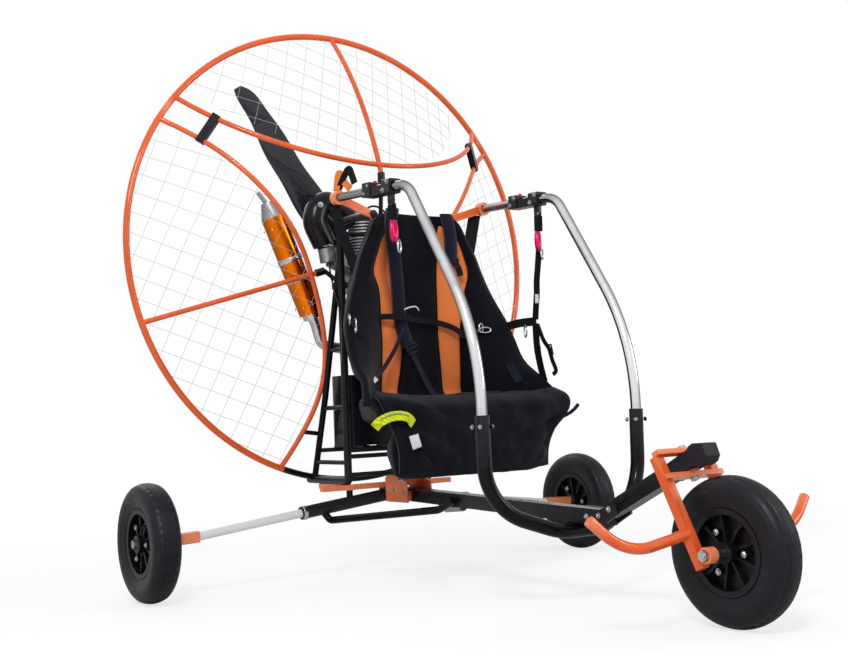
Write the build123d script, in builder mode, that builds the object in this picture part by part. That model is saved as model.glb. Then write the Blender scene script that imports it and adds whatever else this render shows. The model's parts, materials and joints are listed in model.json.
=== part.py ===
from build123d import *
from math import cos, radians, sin
import os

# A powered-paraglider trike: three wheels on a light tubular chassis, with a
# cushioned harness seat, a caged pusher propeller and its engine behind it.
# Millimetres. +X is the pilot's left, +Y is the rear, +Z is up. The origin is
# on the ground, at the middle of the footprint. Points are given from the
# ground midway between the rear wheels, by at(x, y, z).

# Wheels, all three alike
TYRE_R = 165.0
TYRE_W = 80.0
RIM_R = 95.0
RIM_W = 58.0
HUB_R = 24.0
HUB_LEN = 70.0
AXLE_R = 8.0
RUNNING_GAP = 0.05
SIDE_GAP = 0.4
TRACK_HALF = 786.0
WHEELBASE = 1393.0

# Propeller cage: a ring that leans back, in a top and two side sections
RING_R = 745.0
RING_TUBE = 20.0
RING_Y = 231.0
RING_BOTTOM_Z = 287.0
RING_Z = RING_BOTTOM_Z + RING_R
RING_LEAN = 1.85
INNER_TUBE = 16.0
TOP_JOINT_ANGLE = 36.2
LOW_JOINT_ANGLE = -69.7

# Propeller
PROP_TURN = 32.4
PROP_HUB_R = 40.0
PROP_HUB_T = 36.0

# Chassis
KEEL_W = 40.0
KEEL_H = 38.0
AXLE_TUBE = 38.0
AXLE_TUBE_HALF = 310.0
AXLE_CENTRE_Z = 243.5
ROD_D = 25.0
BRACE_D = 22.0
POST_D = 20.0
U_TUBE = 37.0
HOOP_D = 28.0
HOOP_X = 258.0
ARM_D = 25.0

# Steered fork
RAKE = 27.0
LEG_X = 78.0
LEG_S = 22.0
LEG_BACK = 11.0
CROWN_DIST = 222.0
AXLE_OFFSET = 19.3
HEAD_R = 21.0
HEAD_LEN = 40.0
CROWN_GAP = 3.0
BAR_H = 12.0
BAR_W = 20.0
PIVOT_R = 6.0

# Power frame
POST_X = 150.0
FRAME_TUBE = 24.0
RUNG_TUBE = 14.0

FRONT_REACH = WHEELBASE + TYRE_R
REAR_REACH = RING_Y + RING_R * sin(radians(RING_LEAN)) + RING_TUBE / 2
REAR_AXLE_Y = (FRONT_REACH - REAR_REACH) / 2


def at(x, y, z):
    """A point measured from the ground midway between the rear wheels."""
    return Vector(x, REAR_AXLE_Y + y, z)


def tube(points, bends, size, mode=Mode.ADD):
    """Sweep a round bar on straight runs joined by bends in the open part."""
    with BuildLine() as path:
        if len(points) == 2:
            Line(*points)
        else:
            FilletPolyline(*points, radius=bends)
    with BuildSketch(Plane(origin=path.line @ 0, z_dir=path.line % 0)) as section:
        Circle(size / 2)
    sweep(section.sketch, path=path.line, mode=mode)


def bar(start, end, width, height, x_dir=(1, 0, 0), mode=Mode.ADD):
    """Make a straight rectangular bar in the open part; width is along x_dir."""
    plane = Plane(origin=start, x_dir=x_dir, z_dir=end - start)
    with BuildSketch(plane) as section:
        Rectangle(width, height)
    extrude(section.sketch, amount=(end - start).length, mode=mode)


def rod(start, end, radius, mode=Mode.ADD):
    """Make a straight round bar from start to end in the open part."""
    with BuildSketch(Plane(origin=start, z_dir=end - start)) as section:
        Circle(radius)
    extrude(section.sketch, amount=(end - start).length, mode=mode)


def round_sweep(path, size):
    """Sweep a round bar along a drawn curve in the open part."""
    with BuildSketch(Plane(origin=path.line @ 0, z_dir=path.line % 0)) as section:
        Circle(size / 2)
    sweep(section.sketch, path=path.line)


def save(part, label):
    """Name one piece and write it."""
    part.label = label
    export_step(part, f"parts/{label}.step")


os.makedirs("parts", exist_ok=True)
SIDES = (("right", -1), ("left", 1))

# The ring's plane: its own y runs up the leaning ring
ring_plane = Plane(
    origin=at(0, RING_Y, RING_Z),
    x_dir=(1, 0, 0),
    z_dir=(0, -cos(radians(RING_LEAN)), sin(radians(RING_LEAN))),
)


def ring_point(side, angle):
    """A point on the ring's centre line, at an angle above the level on one side."""
    across = side * RING_R * cos(radians(angle))
    return ring_plane.from_local_coords(Vector(across, RING_R * sin(radians(angle)), 0))

# Wheel places: name, x of the centre, y of the centre
WHEELS = (
    ("rear_right", -TRACK_HALF, 0.0),
    ("rear_left", TRACK_HALF, 0.0),
    ("front", 0.0, -WHEELBASE),
)
BARREL_R = 86.0
BARREL_T = 4.0
LIP = 4.0
CROWN_R = 26.0
RIM_BOLT_RING = 49.0
RIM_BOLT_R = 7.0
RIM_RIBS = 9
RIM_RIB_T = 6.0
RIM_RIB_DEPTH = 40.0
RIM_WEB_T = 10.0
RIM_BOSS_LEN = 52.0
SHOULDER_DROP = 6.0
BELLY_RISE = 4.0
BEAD_RISE = 2.0

for name, wheel_x, wheel_y in WHEELS:
    centre = at(wheel_x, wheel_y, TYRE_R)
    spin = Plane(origin=centre, x_dir=(0, 1, 0), z_dir=(1, 0, 0))
    # The section lies in a plane that holds the axle, x along the axle
    cut = Plane(origin=centre, x_dir=(1, 0, 0), z_dir=(0, -1, 0))
    bead = RIM_W / 2 - LIP
    bead_r = RIM_R + BEAD_RISE
    belly_r = (RIM_R + TYRE_R) / 2 + BELLY_RISE
    shoulder_r = TYRE_R - SHOULDER_DROP
    with BuildPart() as tyre:
        with BuildSketch(cut):
            with BuildLine():
                Polyline((-bead, BARREL_R), (-bead, RIM_R), (-RIM_W / 2, bead_r))
                ThreePointArc(
                    (-RIM_W / 2, bead_r), (-TYRE_W / 2, belly_r), (-CROWN_R, shoulder_r)
                )
                ThreePointArc((-CROWN_R, shoulder_r), (0, TYRE_R), (CROWN_R, shoulder_r))
                ThreePointArc(
                    (CROWN_R, shoulder_r), (TYRE_W / 2, belly_r), (RIM_W / 2, bead_r)
                )
                Polyline((RIM_W / 2, bead_r), (bead, RIM_R), (bead, BARREL_R), (-bead, BARREL_R))
            make_face()
        revolve(axis=Axis(centre, (1, 0, 0)))
    save(tyre.part, f"tyre_{name}")

    with BuildPart() as rim:
        with BuildSketch(cut):
            with BuildLine():
                Polyline(
                    (-RIM_W / 2, BARREL_R - BARREL_T),
                    (-RIM_W / 2, RIM_R),
                    (-RIM_W / 2 + LIP, RIM_R),
                    (-RIM_W / 2 + LIP, BARREL_R),
                    (RIM_W / 2 - LIP, BARREL_R),
                    (RIM_W / 2 - LIP, RIM_R),
                    (RIM_W / 2, RIM_R),
                    (RIM_W / 2, BARREL_R - BARREL_T),
                    close=True,
                )
            make_face()
        revolve(axis=Axis(centre, (1, 0, 0)))
        with BuildSketch(spin.offset(-HUB_LEN / 2)):
            Circle(HUB_R)
        extrude(amount=HUB_LEN)
        with BuildSketch(spin.offset(-RIM_WEB_T / 2)):
            Circle(BARREL_R - BARREL_T / 2)
        extrude(amount=RIM_WEB_T)
        with BuildSketch(spin.offset(-RIM_RIB_DEPTH / 2)):
            with PolarLocations((HUB_R + BARREL_R - BARREL_T) / 2, RIM_RIBS):
                Rectangle(BARREL_R - HUB_R, RIM_RIB_T)
        extrude(amount=RIM_RIB_DEPTH)
        with BuildSketch(spin.offset(-RIM_BOSS_LEN / 2)):
            with PolarLocations(RIM_BOLT_RING, 3, start_angle=60):
                Circle(RIM_BOLT_R)
        extrude(amount=RIM_BOSS_LEN)
        with BuildSketch(spin.offset(-HUB_LEN)):
            Circle(AXLE_R + RUNNING_GAP)
        extrude(amount=2 * HUB_LEN, mode=Mode.SUBTRACT)
    save(rim.part, f"rim_{name}")


# The hub brackets end at the wheels' hubs; the rods and the axle's fall follow
HUB_FACE = TRACK_HALF - HUB_LEN / 2
STUB_COLLAR = 10.0
BRACKET_OUT = HUB_FACE - SIDE_GAP - STUB_COLLAR
BRACKET_LEN = 100.6
BRACKET_IN = BRACKET_OUT - BRACKET_LEN
BRACKET_RISE = 4.9
BRACKET_S = 32.0
BRACKET_ROUND = 5.0
ROD_GRIP = 15.0
ROD_SOCKET = 60.0
ROD_OUT = BRACKET_IN + ROD_GRIP
ROD_IN = AXLE_TUBE_HALF - ROD_SOCKET
AXLE_FALL = (AXLE_CENTRE_Z - TYRE_R - BRACKET_RISE) / BRACKET_IN
NUT_T = 10.0
NUT_R = 13.0
STUB_ROOT = 30.0
COLLAR_R = 14.0


def axle_point(x):
    """A point on the rear axle's centre line, which falls outward."""
    return at(x, 0, AXLE_CENTRE_Z - AXLE_FALL * abs(x))


# Rear axle rods, which slide into the black axle tube
rods = {}
for side, sign in SIDES:
    with BuildPart() as axle_rod:
        rod(axle_point(sign * ROD_IN), axle_point(sign * ROD_OUT), ROD_D / 2)
    rods[side] = axle_rod.part
    save(axle_rod.part, f"axle_rod_{side}")

# Hub brackets, with the rod in their inner end and the stub axle in the outer
for side, sign in SIDES:
    nut_x = TRACK_HALF + HUB_LEN / 2 + SIDE_GAP
    with BuildPart() as stub:
        rod(
            at(sign * BRACKET_OUT, 0, TYRE_R),
            at(sign * (BRACKET_OUT + STUB_COLLAR), 0, TYRE_R),
            COLLAR_R,
        )
        rod(
            at(sign * (BRACKET_OUT - STUB_ROOT), 0, TYRE_R),
            at(sign * (nut_x + NUT_T), 0, TYRE_R),
            AXLE_R,
        )
        with BuildSketch(Plane(origin=at(sign * nut_x, 0, TYRE_R), z_dir=(sign, 0, 0))):
            RegularPolygon(NUT_R, 6)
        extrude(amount=NUT_T)
    save(stub.part, f"stub_axle_{side}")
    with BuildPart() as bracket:
        bar(
            axle_point(sign * BRACKET_IN),
            at(sign * BRACKET_OUT, 0, TYRE_R),
            BRACKET_S,
            BRACKET_S,
            x_dir=(0, 1, 0),
        )
        fillet(bracket.edges().sort_by(SortBy.LENGTH)[-4:], BRACKET_ROUND)
        add(rods[side], mode=Mode.SUBTRACT)
        add(stub.part, mode=Mode.SUBTRACT)
    save(bracket.part, f"hub_bracket_{side}")

# Keel: a rectangular tube from over the rear axle to the neck
NECK_REACH = 378.0
KEEL_REAR_Y = 20.0
KEEL_REAR_Z = 253.0
KEEL_FRONT_Y = -(WHEELBASE - NECK_REACH)
KEEL_FRONT_Z = 219.0
KEEL_SLOPE = (KEEL_REAR_Z - KEEL_FRONT_Z) / (KEEL_REAR_Y - KEEL_FRONT_Y)


def keel_z(y):
    """Height of the keel's centre line at y from the rear axle."""
    return KEEL_REAR_Z - KEEL_SLOPE * (KEEL_REAR_Y - y)


# Steering geometry: the raked axis passes a little behind the front axle
AXIS_UP = Vector(0, sin(radians(RAKE)), cos(radians(RAKE)))
AXIS_FORWARD = Vector(0, -cos(radians(RAKE)), sin(radians(RAKE)))
FRONT_AXLE = at(0, -WHEELBASE, TYRE_R)
PIVOT = FRONT_AXLE + AXIS_UP * CROWN_DIST - AXIS_FORWARD * AXLE_OFFSET


with BuildPart() as keel:
    bar(
        at(0, KEEL_REAR_Y, KEEL_REAR_Z),
        at(0, KEEL_FRONT_Y, KEEL_FRONT_Z),
        KEEL_W,
        KEEL_H,
    )
    rod(axle_point(-AXLE_TUBE_HALF), axle_point(0), AXLE_TUBE / 2, mode=Mode.SUBTRACT)
    rod(axle_point(AXLE_TUBE_HALF), axle_point(0), AXLE_TUBE / 2, mode=Mode.SUBTRACT)
save(keel.part, "keel")

NECK_RISE = 15.0
with BuildPart() as neck:
    bar(at(0, KEEL_FRONT_Y - 3, KEEL_FRONT_Z + NECK_RISE), PIVOT, KEEL_W, KEEL_H)
    rod(PIVOT - AXIS_UP * (HEAD_LEN / 2), PIVOT + AXIS_UP * (HEAD_LEN / 2), HEAD_R)
    add(keel.part, mode=Mode.SUBTRACT)
    # Trim the sloping end flush with the head, between the fork's two bars
    for end in (AXIS_UP, AXIS_UP * -1):
        with BuildSketch(Plane(origin=PIVOT + end * (HEAD_LEN / 2), z_dir=end)):
            Circle(2 * KEEL_W)
        extrude(amount=KEEL_H, mode=Mode.SUBTRACT)
    rod(
        PIVOT - AXIS_UP * HEAD_LEN,
        PIVOT + AXIS_UP * HEAD_LEN,
        PIVOT_R + RUNNING_GAP,
        mode=Mode.SUBTRACT,
    )
save(neck.part, "neck")

# Rubber pad over the neck's front end, drooping to its tip; points are
# (forward, up) from the pivot, square to the steering axis
PAD_W = 46.0
PAD_ROUND = 4.0
PAD_OUTLINE = (
    (-58, -19.5),
    (31, -19.5),
    (40, -27),
    (62, -27),
    (75, -18),
    (78, 12),
    (53, 24),
    (40, 24),
    (31, 19.5),
    (-58, 19.5),
)
SIDE_PLANE = Plane(origin=PIVOT, x_dir=AXIS_FORWARD, z_dir=(-1, 0, 0))
with BuildPart() as pad:
    with BuildSketch(SIDE_PLANE):
        Polygon(*PAD_OUTLINE, align=None)
    extrude(amount=PAD_W / 2, both=True)
    fillet(pad.edges().filter_by(Axis.X), PAD_ROUND)
    add(neck.part, mode=Mode.SUBTRACT)
    rod(
        PIVOT - AXIS_UP * HEAD_LEN,
        PIVOT + AXIS_UP * HEAD_LEN,
        PIVOT_R + SIDE_GAP,
        mode=Mode.SUBTRACT,
    )
save(pad.part, "neck_pad")

# Plates that join the keel to the neck, one on each side; points are
# (distance behind the keel's front end, height)
PLATE_T = 5.0
JOINT_PLATE = (
    (120, 210),
    (80, 210),
    (65, 203),
    (5, 202),
    (-48, 230),
    (-36, 256),
    (15, 240),
    (120, 243),
)
with BuildPart() as joint_plates:
    for sign in (-1, 1):
        plate_plane = Plane(
            origin=at(sign * (KEEL_W / 2 + PLATE_T / 2), KEEL_FRONT_Y, 0),
            x_dir=(0, 1, 0),
            z_dir=(1, 0, 0),
        )
        with BuildSketch(plate_plane):
            Polygon(*JOINT_PLATE, align=None)
        extrude(amount=PLATE_T / 2, both=True)
save(joint_plates.part, "joint_plates")

# Rear axle tube with its two posts and the two braces that run to the keel
POST_FOOT_X = 139.0
SUBFRAME_Z = 274.0
SUBFRAME_H = 16.0
BRACE_REAR_X = 225.0
BRACE_BENDS = [16, 40]
BRACE_CURVE = (
    (BRACE_REAR_X + 6, 8, AXLE_CENTRE_Z - AXLE_FALL * BRACE_REAR_X - 8),
    (BRACE_REAR_X - 10, -8, 180),
    (44, -340, 212),
    (29, -392, keel_z(-392)),
)
with BuildPart() as axle_frame:
    for sign in (-1, 1):
        rod(axle_point(0), axle_point(sign * AXLE_TUBE_HALF), AXLE_TUBE / 2)
        rod(
            axle_point(sign * POST_FOOT_X),
            at(sign * POST_FOOT_X, 0, SUBFRAME_Z - SUBFRAME_H / 2),
            POST_D / 2,
        )
        tube([at(sign * x, y, z) for x, y, z in BRACE_CURVE], BRACE_BENDS, BRACE_D)
    add(keel.part, mode=Mode.SUBTRACT)
    for side, sign in SIDES:
        add(rods[side], mode=Mode.SUBTRACT)
save(axle_frame.part, "axle_frame")

# Steered fork: two square legs behind the axle, two crossbars, curved foot
# pegs and the axle's bosses
BOSS_R = 18.0
BOSS_HALF = 11.5
BOSS_ARM_H = 30.0
PEG_D = 24.0
PEG_BEND = 145.0
PEG_CURVE = (
    (LEG_X + 5, 54, 42),
    (260, 56, 14),
    (343, 77, 91),
)
LEG_BELOW = 240.0
LEG_ABOVE = 24.7
BAR_OFFSET = HEAD_LEN / 2 + CROWN_GAP + BAR_H / 2
UPPER_BAR = PIVOT + AXIS_UP * BAR_OFFSET
LOWER_BAR = PIVOT - AXIS_UP * BAR_OFFSET
SPACER_R = 12.0
AXLE_END = LEG_X + BOSS_HALF + NUT_T + 2

with BuildPart() as front_axle:
    rod(FRONT_AXLE - Vector(AXLE_END, 0, 0), FRONT_AXLE + Vector(AXLE_END, 0, 0), AXLE_R)
    for sign in (-1, 1):
        rod(
            FRONT_AXLE + Vector(sign * (HUB_LEN / 2 + SIDE_GAP), 0, 0),
            FRONT_AXLE + Vector(sign * (LEG_X - BOSS_HALF), 0, 0),
            SPACER_R,
        )
        nut_at = FRONT_AXLE + Vector(sign * (LEG_X + BOSS_HALF), 0, 0)
        with BuildSketch(Plane(origin=nut_at, z_dir=(sign, 0, 0))):
            RegularPolygon(NUT_R, 6)
        extrude(amount=NUT_T)
save(front_axle.part, "front_axle")

BOLT_HEAD_R = 10.0
BOLT_HEAD_T = 7.0
BOLT_HALF = BAR_OFFSET + BAR_H / 2
with BuildPart() as steering_bolt:
    rod(PIVOT - AXIS_UP * BOLT_HALF, PIVOT + AXIS_UP * BOLT_HALF, PIVOT_R)
    for end in (AXIS_UP, AXIS_UP * -1):
        with BuildSketch(Plane(origin=PIVOT + end * BOLT_HALF, z_dir=end)):
            RegularPolygon(BOLT_HEAD_R, 6)
        extrude(amount=BOLT_HEAD_T)
save(steering_bolt.part, "steering_bolt")

WASHER_R = HEAD_R - 4
with BuildPart() as fork:
    for sign in (-1, 1):
        leg_mid = PIVOT - AXIS_FORWARD * LEG_BACK + Vector(sign * LEG_X, 0, 0)
        bar(leg_mid - AXIS_UP * LEG_BELOW, leg_mid + AXIS_UP * LEG_ABOVE, LEG_S, LEG_S)
        # A short arm carries the axle's boss ahead of the leg
        boss = FRONT_AXLE + Vector(sign * LEG_X, 0, 0)
        bar(boss - AXIS_FORWARD * (AXLE_OFFSET + LEG_BACK), boss, LEG_S, BOSS_ARM_H)
        rod(boss - Vector(BOSS_HALF, 0, 0), boss + Vector(BOSS_HALF, 0, 0), BOSS_R)
        washer = PIVOT + AXIS_UP * (sign * (HEAD_LEN / 2 + CROWN_GAP))
        rod(washer, washer - AXIS_UP * (sign * (CROWN_GAP - SIDE_GAP)), WASHER_R)
        peg = [FRONT_AXLE + Vector(sign * x, y, z) for x, y, z in PEG_CURVE]
        tube(peg, [PEG_BEND], PEG_D)
    for centre in (UPPER_BAR, LOWER_BAR):
        reach = Vector(LEG_X + LEG_S / 2, 0, 0)
        bar(centre - reach, centre + reach, BAR_W, BAR_H, x_dir=AXIS_FORWARD)
    add(front_axle.part, mode=Mode.SUBTRACT)
    add(steering_bolt.part, mode=Mode.SUBTRACT)
save(fork.part, "fork")

# Side hoops, polished, standing in the black tube that crosses under the keel
HOOP_TOP = (-486.0, 1112.0)
HOOP_JOIN = (-853.0, 480.0)
HOOP_SOCKET = 40.0
HOOP_KNEES = ((-569.0, 1103.0), (-853.0, 674.0))
HOOP_BENDS = [75, 590]
U_BOTTOM_Y = -905.0
with BuildPart() as hoops:
    for sign in (-1, 1):
        tube(
            [at(sign * HOOP_X, y, z) for y, z in (HOOP_TOP, *HOOP_KNEES)]
            + [at(sign * HOOP_X, HOOP_JOIN[0], HOOP_JOIN[1] - HOOP_SOCKET)],
            HOOP_BENDS,
            HOOP_D,
        )
hoop_solids = hoops.solids().sort_by(Axis.X)
for (side, sign), solid in zip(SIDES, hoop_solids):
    with BuildPart() as hoop:
        add(solid)
    save(hoop.part, f"hoop_{side}")

U_CORNER_Z = 252.0
U_FLAT_X = 70.0
with BuildPart() as u_tube:
    bottom_z = keel_z(U_BOTTOM_Y) - KEEL_H / 2 - U_TUBE / 2
    tube(
        (
            at(-HOOP_X, HOOP_JOIN[0], HOOP_JOIN[1]),
            at(-HOOP_X + 4, HOOP_JOIN[0] + 2, U_CORNER_Z),
            at(-U_FLAT_X, U_BOTTOM_Y, bottom_z),
            at(U_FLAT_X, U_BOTTOM_Y, bottom_z),
            at(HOOP_X - 4, HOOP_JOIN[0] + 2, U_CORNER_Z),
            at(HOOP_X, HOOP_JOIN[0], HOOP_JOIN[1]),
        ),
        [150, 150, 150, 150],
        U_TUBE,
    )
    add(hoops.part, mode=Mode.SUBTRACT)
    add(keel.part, mode=Mode.SUBTRACT)
save(u_tube.part, "u_tube")

# Arms: polished bars from the hoops' tops back to the ringed brackets; each
# front end is held by a black clamp whose lower eye takes the wing's hook
ARM_REAR = (264.0, -196.0, 1130.0)
ARM_SETBACK = 10.0
CLAMP_HALF = 20.0
CLAMP_S = 40.0
CLAMP_ROUND = 6.0
BACK_CLAMP_AT = 96.0
BACK_CLAMP_HALF = 20.0
CLAMP_LINK_H = 26.0
CLAMP_LINK_W = 10.0
EYE_DROP = 42.0
EYE_R = 13.0
HANG_HOLE_R = 6.0
HANG_PLATE_T = 8.0
arms = {}
for side, sign in SIDES:
    hoop_top = at(sign * HOOP_X, *HOOP_TOP)
    arm_rear = at(sign * ARM_REAR[0], *ARM_REAR[1:])
    arm_run = (arm_rear - hoop_top).normalized()
    with BuildPart() as arm:
        rod(hoop_top + arm_run * ARM_SETBACK, arm_rear, ARM_D / 2)
    arms[side] = arm.part
    save(arm.part, f"arm_{side}")

    back_clamp = hoop_top + arm_run * BACK_CLAMP_AT
    with BuildPart() as clamp:
        bar(hoop_top - arm_run * CLAMP_HALF, hoop_top + arm_run * CLAMP_HALF, CLAMP_S, CLAMP_S)
        fillet(clamp.edges().sort_by(SortBy.LENGTH)[-4:], CLAMP_ROUND)
        bar(
            back_clamp - arm_run * BACK_CLAMP_HALF,
            back_clamp + arm_run * BACK_CLAMP_HALF,
            CLAMP_S,
            CLAMP_S,
        )
        link_drop = Vector(0, 0, (CLAMP_LINK_H - CLAMP_S) / 2)
        bar(hoop_top + link_drop, back_clamp + link_drop, CLAMP_LINK_W + ARM_D, CLAMP_LINK_H)
        eye = hoop_top - Vector(0, 0, EYE_DROP)
        with BuildSketch(Plane(origin=eye, x_dir=(0, 1, 0), z_dir=(1, 0, 0))):
            with Locations((0, EYE_R)):
                Rectangle(2 * EYE_R, 2 * EYE_R + 4)
            Circle(EYE_R)
        extrude(amount=HANG_PLATE_T / 2, both=True)
        add(hoops.part, mode=Mode.SUBTRACT)
        add(arm.part, mode=Mode.SUBTRACT)
        rod(
            eye - Vector(HANG_PLATE_T, 0, 0),
            eye + Vector(HANG_PLATE_T, 0, 0),
            HANG_HOLE_R,
            mode=Mode.SUBTRACT,
        )
    save(clamp.part, f"hang_clamp_{side}")

with BuildPart() as base_arc:
    with BuildLine(ring_plane) as low_arc:
        CenterArc((0, 0), RING_R, 180 - LOW_JOINT_ANGLE, 180 + 2 * LOW_JOINT_ANGLE)
    round_sweep(low_arc, RING_TUBE)
save(base_arc.part, "cage_base_arc")

# Power frame: two side trusses and the cross tubes between them. Each front
# post turns forward at its top into a rail that carries the arm's bracket
POST_Y = -15.0
POST_TOP_Z = 1095.0
RAIL_END = (140.0, -206.0, 1090.0)
RAIL_BEND = 30.0
REAR_FOOT_Y = 200.0
BASE_REAR_Y = 232.0
BASE_Z = 294.0
REAR_KNEE = (110.0, 560.0)
REAR_KNEE_BEND = 300.0
REAR_TOP_Z = 1000.0
RUNG_LEVELS = (350.0, 520.0, 700.0)
SPOKE_SOCKET = (158.0, 74.0, 953.0)
SOCKET_R = 12.0
SOCKET_LEN = 30.0
LOW_CLIP = (205.0, 163.0, 448.0)
LOW_CLIP_Z = 440.0
STRUT_D = 14.0
SPOKE_ANGLE = -18.5


def rear_post_y(z):
    """Centre of the sloping rear post at height z."""
    if z < REAR_KNEE[1]:
        share = (z - BASE_Z) / (REAR_KNEE[1] - BASE_Z)
        return REAR_FOOT_Y + share * (REAR_KNEE[0] - REAR_FOOT_Y)
    share = (z - REAR_KNEE[1]) / (REAR_TOP_Z - REAR_KNEE[1])
    return REAR_KNEE[0] + share * (POST_Y - REAR_KNEE[0])


trusses = {}
for side, sign in SIDES:
    x = sign * POST_X
    spoke_end = at(sign * SPOKE_SOCKET[0], *SPOKE_SOCKET[1:])
    spoke_run = (ring_point(sign, SPOKE_ANGLE) - spoke_end).normalized()
    with BuildPart() as truss:
        tube(
            (
                at(x, POST_Y, BASE_Z),
                at(x, POST_Y, POST_TOP_Z),
                at(sign * RAIL_END[0], *RAIL_END[1:]),
            ),
            [RAIL_BEND],
            FRAME_TUBE,
        )
        rod(at(x, POST_Y, BASE_Z), at(x, BASE_REAR_Y, BASE_Z), FRAME_TUBE / 2)
        tube(
            (at(x, REAR_FOOT_Y, BASE_Z), at(x, *REAR_KNEE), at(x, POST_Y, REAR_TOP_Z)),
            [REAR_KNEE_BEND],
            FRAME_TUBE - 4,
        )
        for level in RUNG_LEVELS:
            rod(at(x, POST_Y, level), at(x, rear_post_y(level), level), RUNG_TUBE / 2)
        # Socket that takes the cage's side spoke, and the strut that carries it
        rod(spoke_end, spoke_end + spoke_run * SOCKET_LEN, SOCKET_R)
        rod(at(x, rear_post_y(SPOKE_SOCKET[2] - 40), SPOKE_SOCKET[2] - 40), spoke_end, STRUT_D / 2)
        rod(
            at(x, rear_post_y(LOW_CLIP_Z), LOW_CLIP_Z),
            at(sign * LOW_CLIP[0], *LOW_CLIP[1:]),
            STRUT_D / 2,
        )
        add(base_arc.part, mode=Mode.SUBTRACT)
    trusses[side] = truss.part
    save(truss.part, f"frame_side_{side}")

CROSS_LEVELS = (312.0, 368.0, 690.0, 1060.0)
TOP_INNER_BOW = (0, -28, 254)
TOP_SOCKET = (0.0, -33.0, 1259.0)
with BuildPart() as cross_tubes:
    for level in CROSS_LEVELS:
        rod(at(-POST_X, POST_Y, level), at(POST_X, POST_Y, level), RUNG_TUBE / 2)
    # Strut up to the cage's top spoke, with the socket at its end
    socket_top = at(*TOP_SOCKET)
    socket_mid = socket_top - Vector(0, 0, SOCKET_LEN / 2)
    rod(at(0, POST_Y, CROSS_LEVELS[-1]), socket_mid, STRUT_D / 2)
    rod(socket_top - Vector(0, 0, SOCKET_LEN), socket_top, SOCKET_R)
    for side, sign in SIDES:
        add(trusses[side], mode=Mode.SUBTRACT)
save(cross_tubes.part, "frame_cross_tubes")

# Orange brackets: a ring round each arm's rear end and a flat bar in to the rail
RING_SLEEVE_R = 21.0
RING_SLEEVE_LEN = 22.0
FLAT_T = 9.0
FLAT_H = 24.0
for side, sign in SIDES:
    hoop_top = at(sign * HOOP_X, *HOOP_TOP)
    arm_rear = at(sign * ARM_REAR[0], *ARM_REAR[1:])
    arm_run = (arm_rear - hoop_top).normalized()
    with BuildPart() as arm_bracket:
        rod(arm_rear - arm_run * RING_SLEEVE_LEN, arm_rear, RING_SLEEVE_R)
        bar(
            arm_rear - arm_run * (RING_SLEEVE_LEN / 2),
            at(sign * (RAIL_END[0] + FLAT_T / 2), RAIL_END[1] + FLAT_T, RAIL_END[2]),
            FLAT_T,
            FLAT_H,
            x_dir=(0, 1, 0),
        )
        add(arms[side], mode=Mode.SUBTRACT)
        add(trusses[side], mode=Mode.SUBTRACT)
    save(arm_bracket.part, f"arm_bracket_{side}")

# Orange subframe under the power frame, and the plates that clamp it to the keel
SUBFRAME_X = 145.0
SUBFRAME_W = 20.0
SUBFRAME_FRONT_Y = -26.0
SUBFRAME_REAR_Y = 165.0
CROSSBAR_HALF = 235.0
CROSSBAR_W = 26.0
with BuildPart() as subframe:
    for sign in (-1, 1):
        bar(
            at(sign * SUBFRAME_X, SUBFRAME_FRONT_Y, SUBFRAME_Z),
            at(sign * SUBFRAME_X, SUBFRAME_REAR_Y, SUBFRAME_Z),
            SUBFRAME_W,
            SUBFRAME_H,
        )
    bar(
        at(-CROSSBAR_HALF, 0, SUBFRAME_Z),
        at(CROSSBAR_HALF, 0, SUBFRAME_Z),
        CROSSBAR_W,
        SUBFRAME_H,
        x_dir=(0, 1, 0),
    )
    for side, sign in SIDES:
        add(trusses[side], mode=Mode.SUBTRACT)
    add(keel.part, mode=Mode.SUBTRACT)
save(subframe.part, "subframe")

KEEL_CLAMP = (
    (-60, 300),
    (-78, 306),
    (-125, 306),
    (-176, 286),
    (-182, 226),
    (-62, 226),
)
CLAMP_PLATE_X = 46.0
CLAMP_PLATE_T = 5.0
CLAMP_SPACER_Y = -120.0
# Spacers between the plates: height of the centre, length along the keel, depth
CLAMP_SPACERS = ((290, 30, 30), (245, 90, 30))
with BuildPart() as keel_clamp:
    for sign in (-1, 1):
        plate_mid = at(sign * (CLAMP_PLATE_X - CLAMP_PLATE_T / 2), 0, 0)
        with BuildSketch(Plane(origin=plate_mid, x_dir=(0, 1, 0), z_dir=(1, 0, 0))):
            Polygon(*KEEL_CLAMP, align=None)
        extrude(amount=CLAMP_PLATE_T / 2, both=True)
    for height, length, depth in CLAMP_SPACERS:
        bar(
            at(-CLAMP_PLATE_X + CLAMP_PLATE_T, CLAMP_SPACER_Y, height),
            at(CLAMP_PLATE_X - CLAMP_PLATE_T, CLAMP_SPACER_Y, height),
            length,
            depth,
            x_dir=(0, 1, 0),
        )
    add(keel.part, mode=Mode.SUBTRACT)
save(keel_clamp.part, "keel_clamp")

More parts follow.
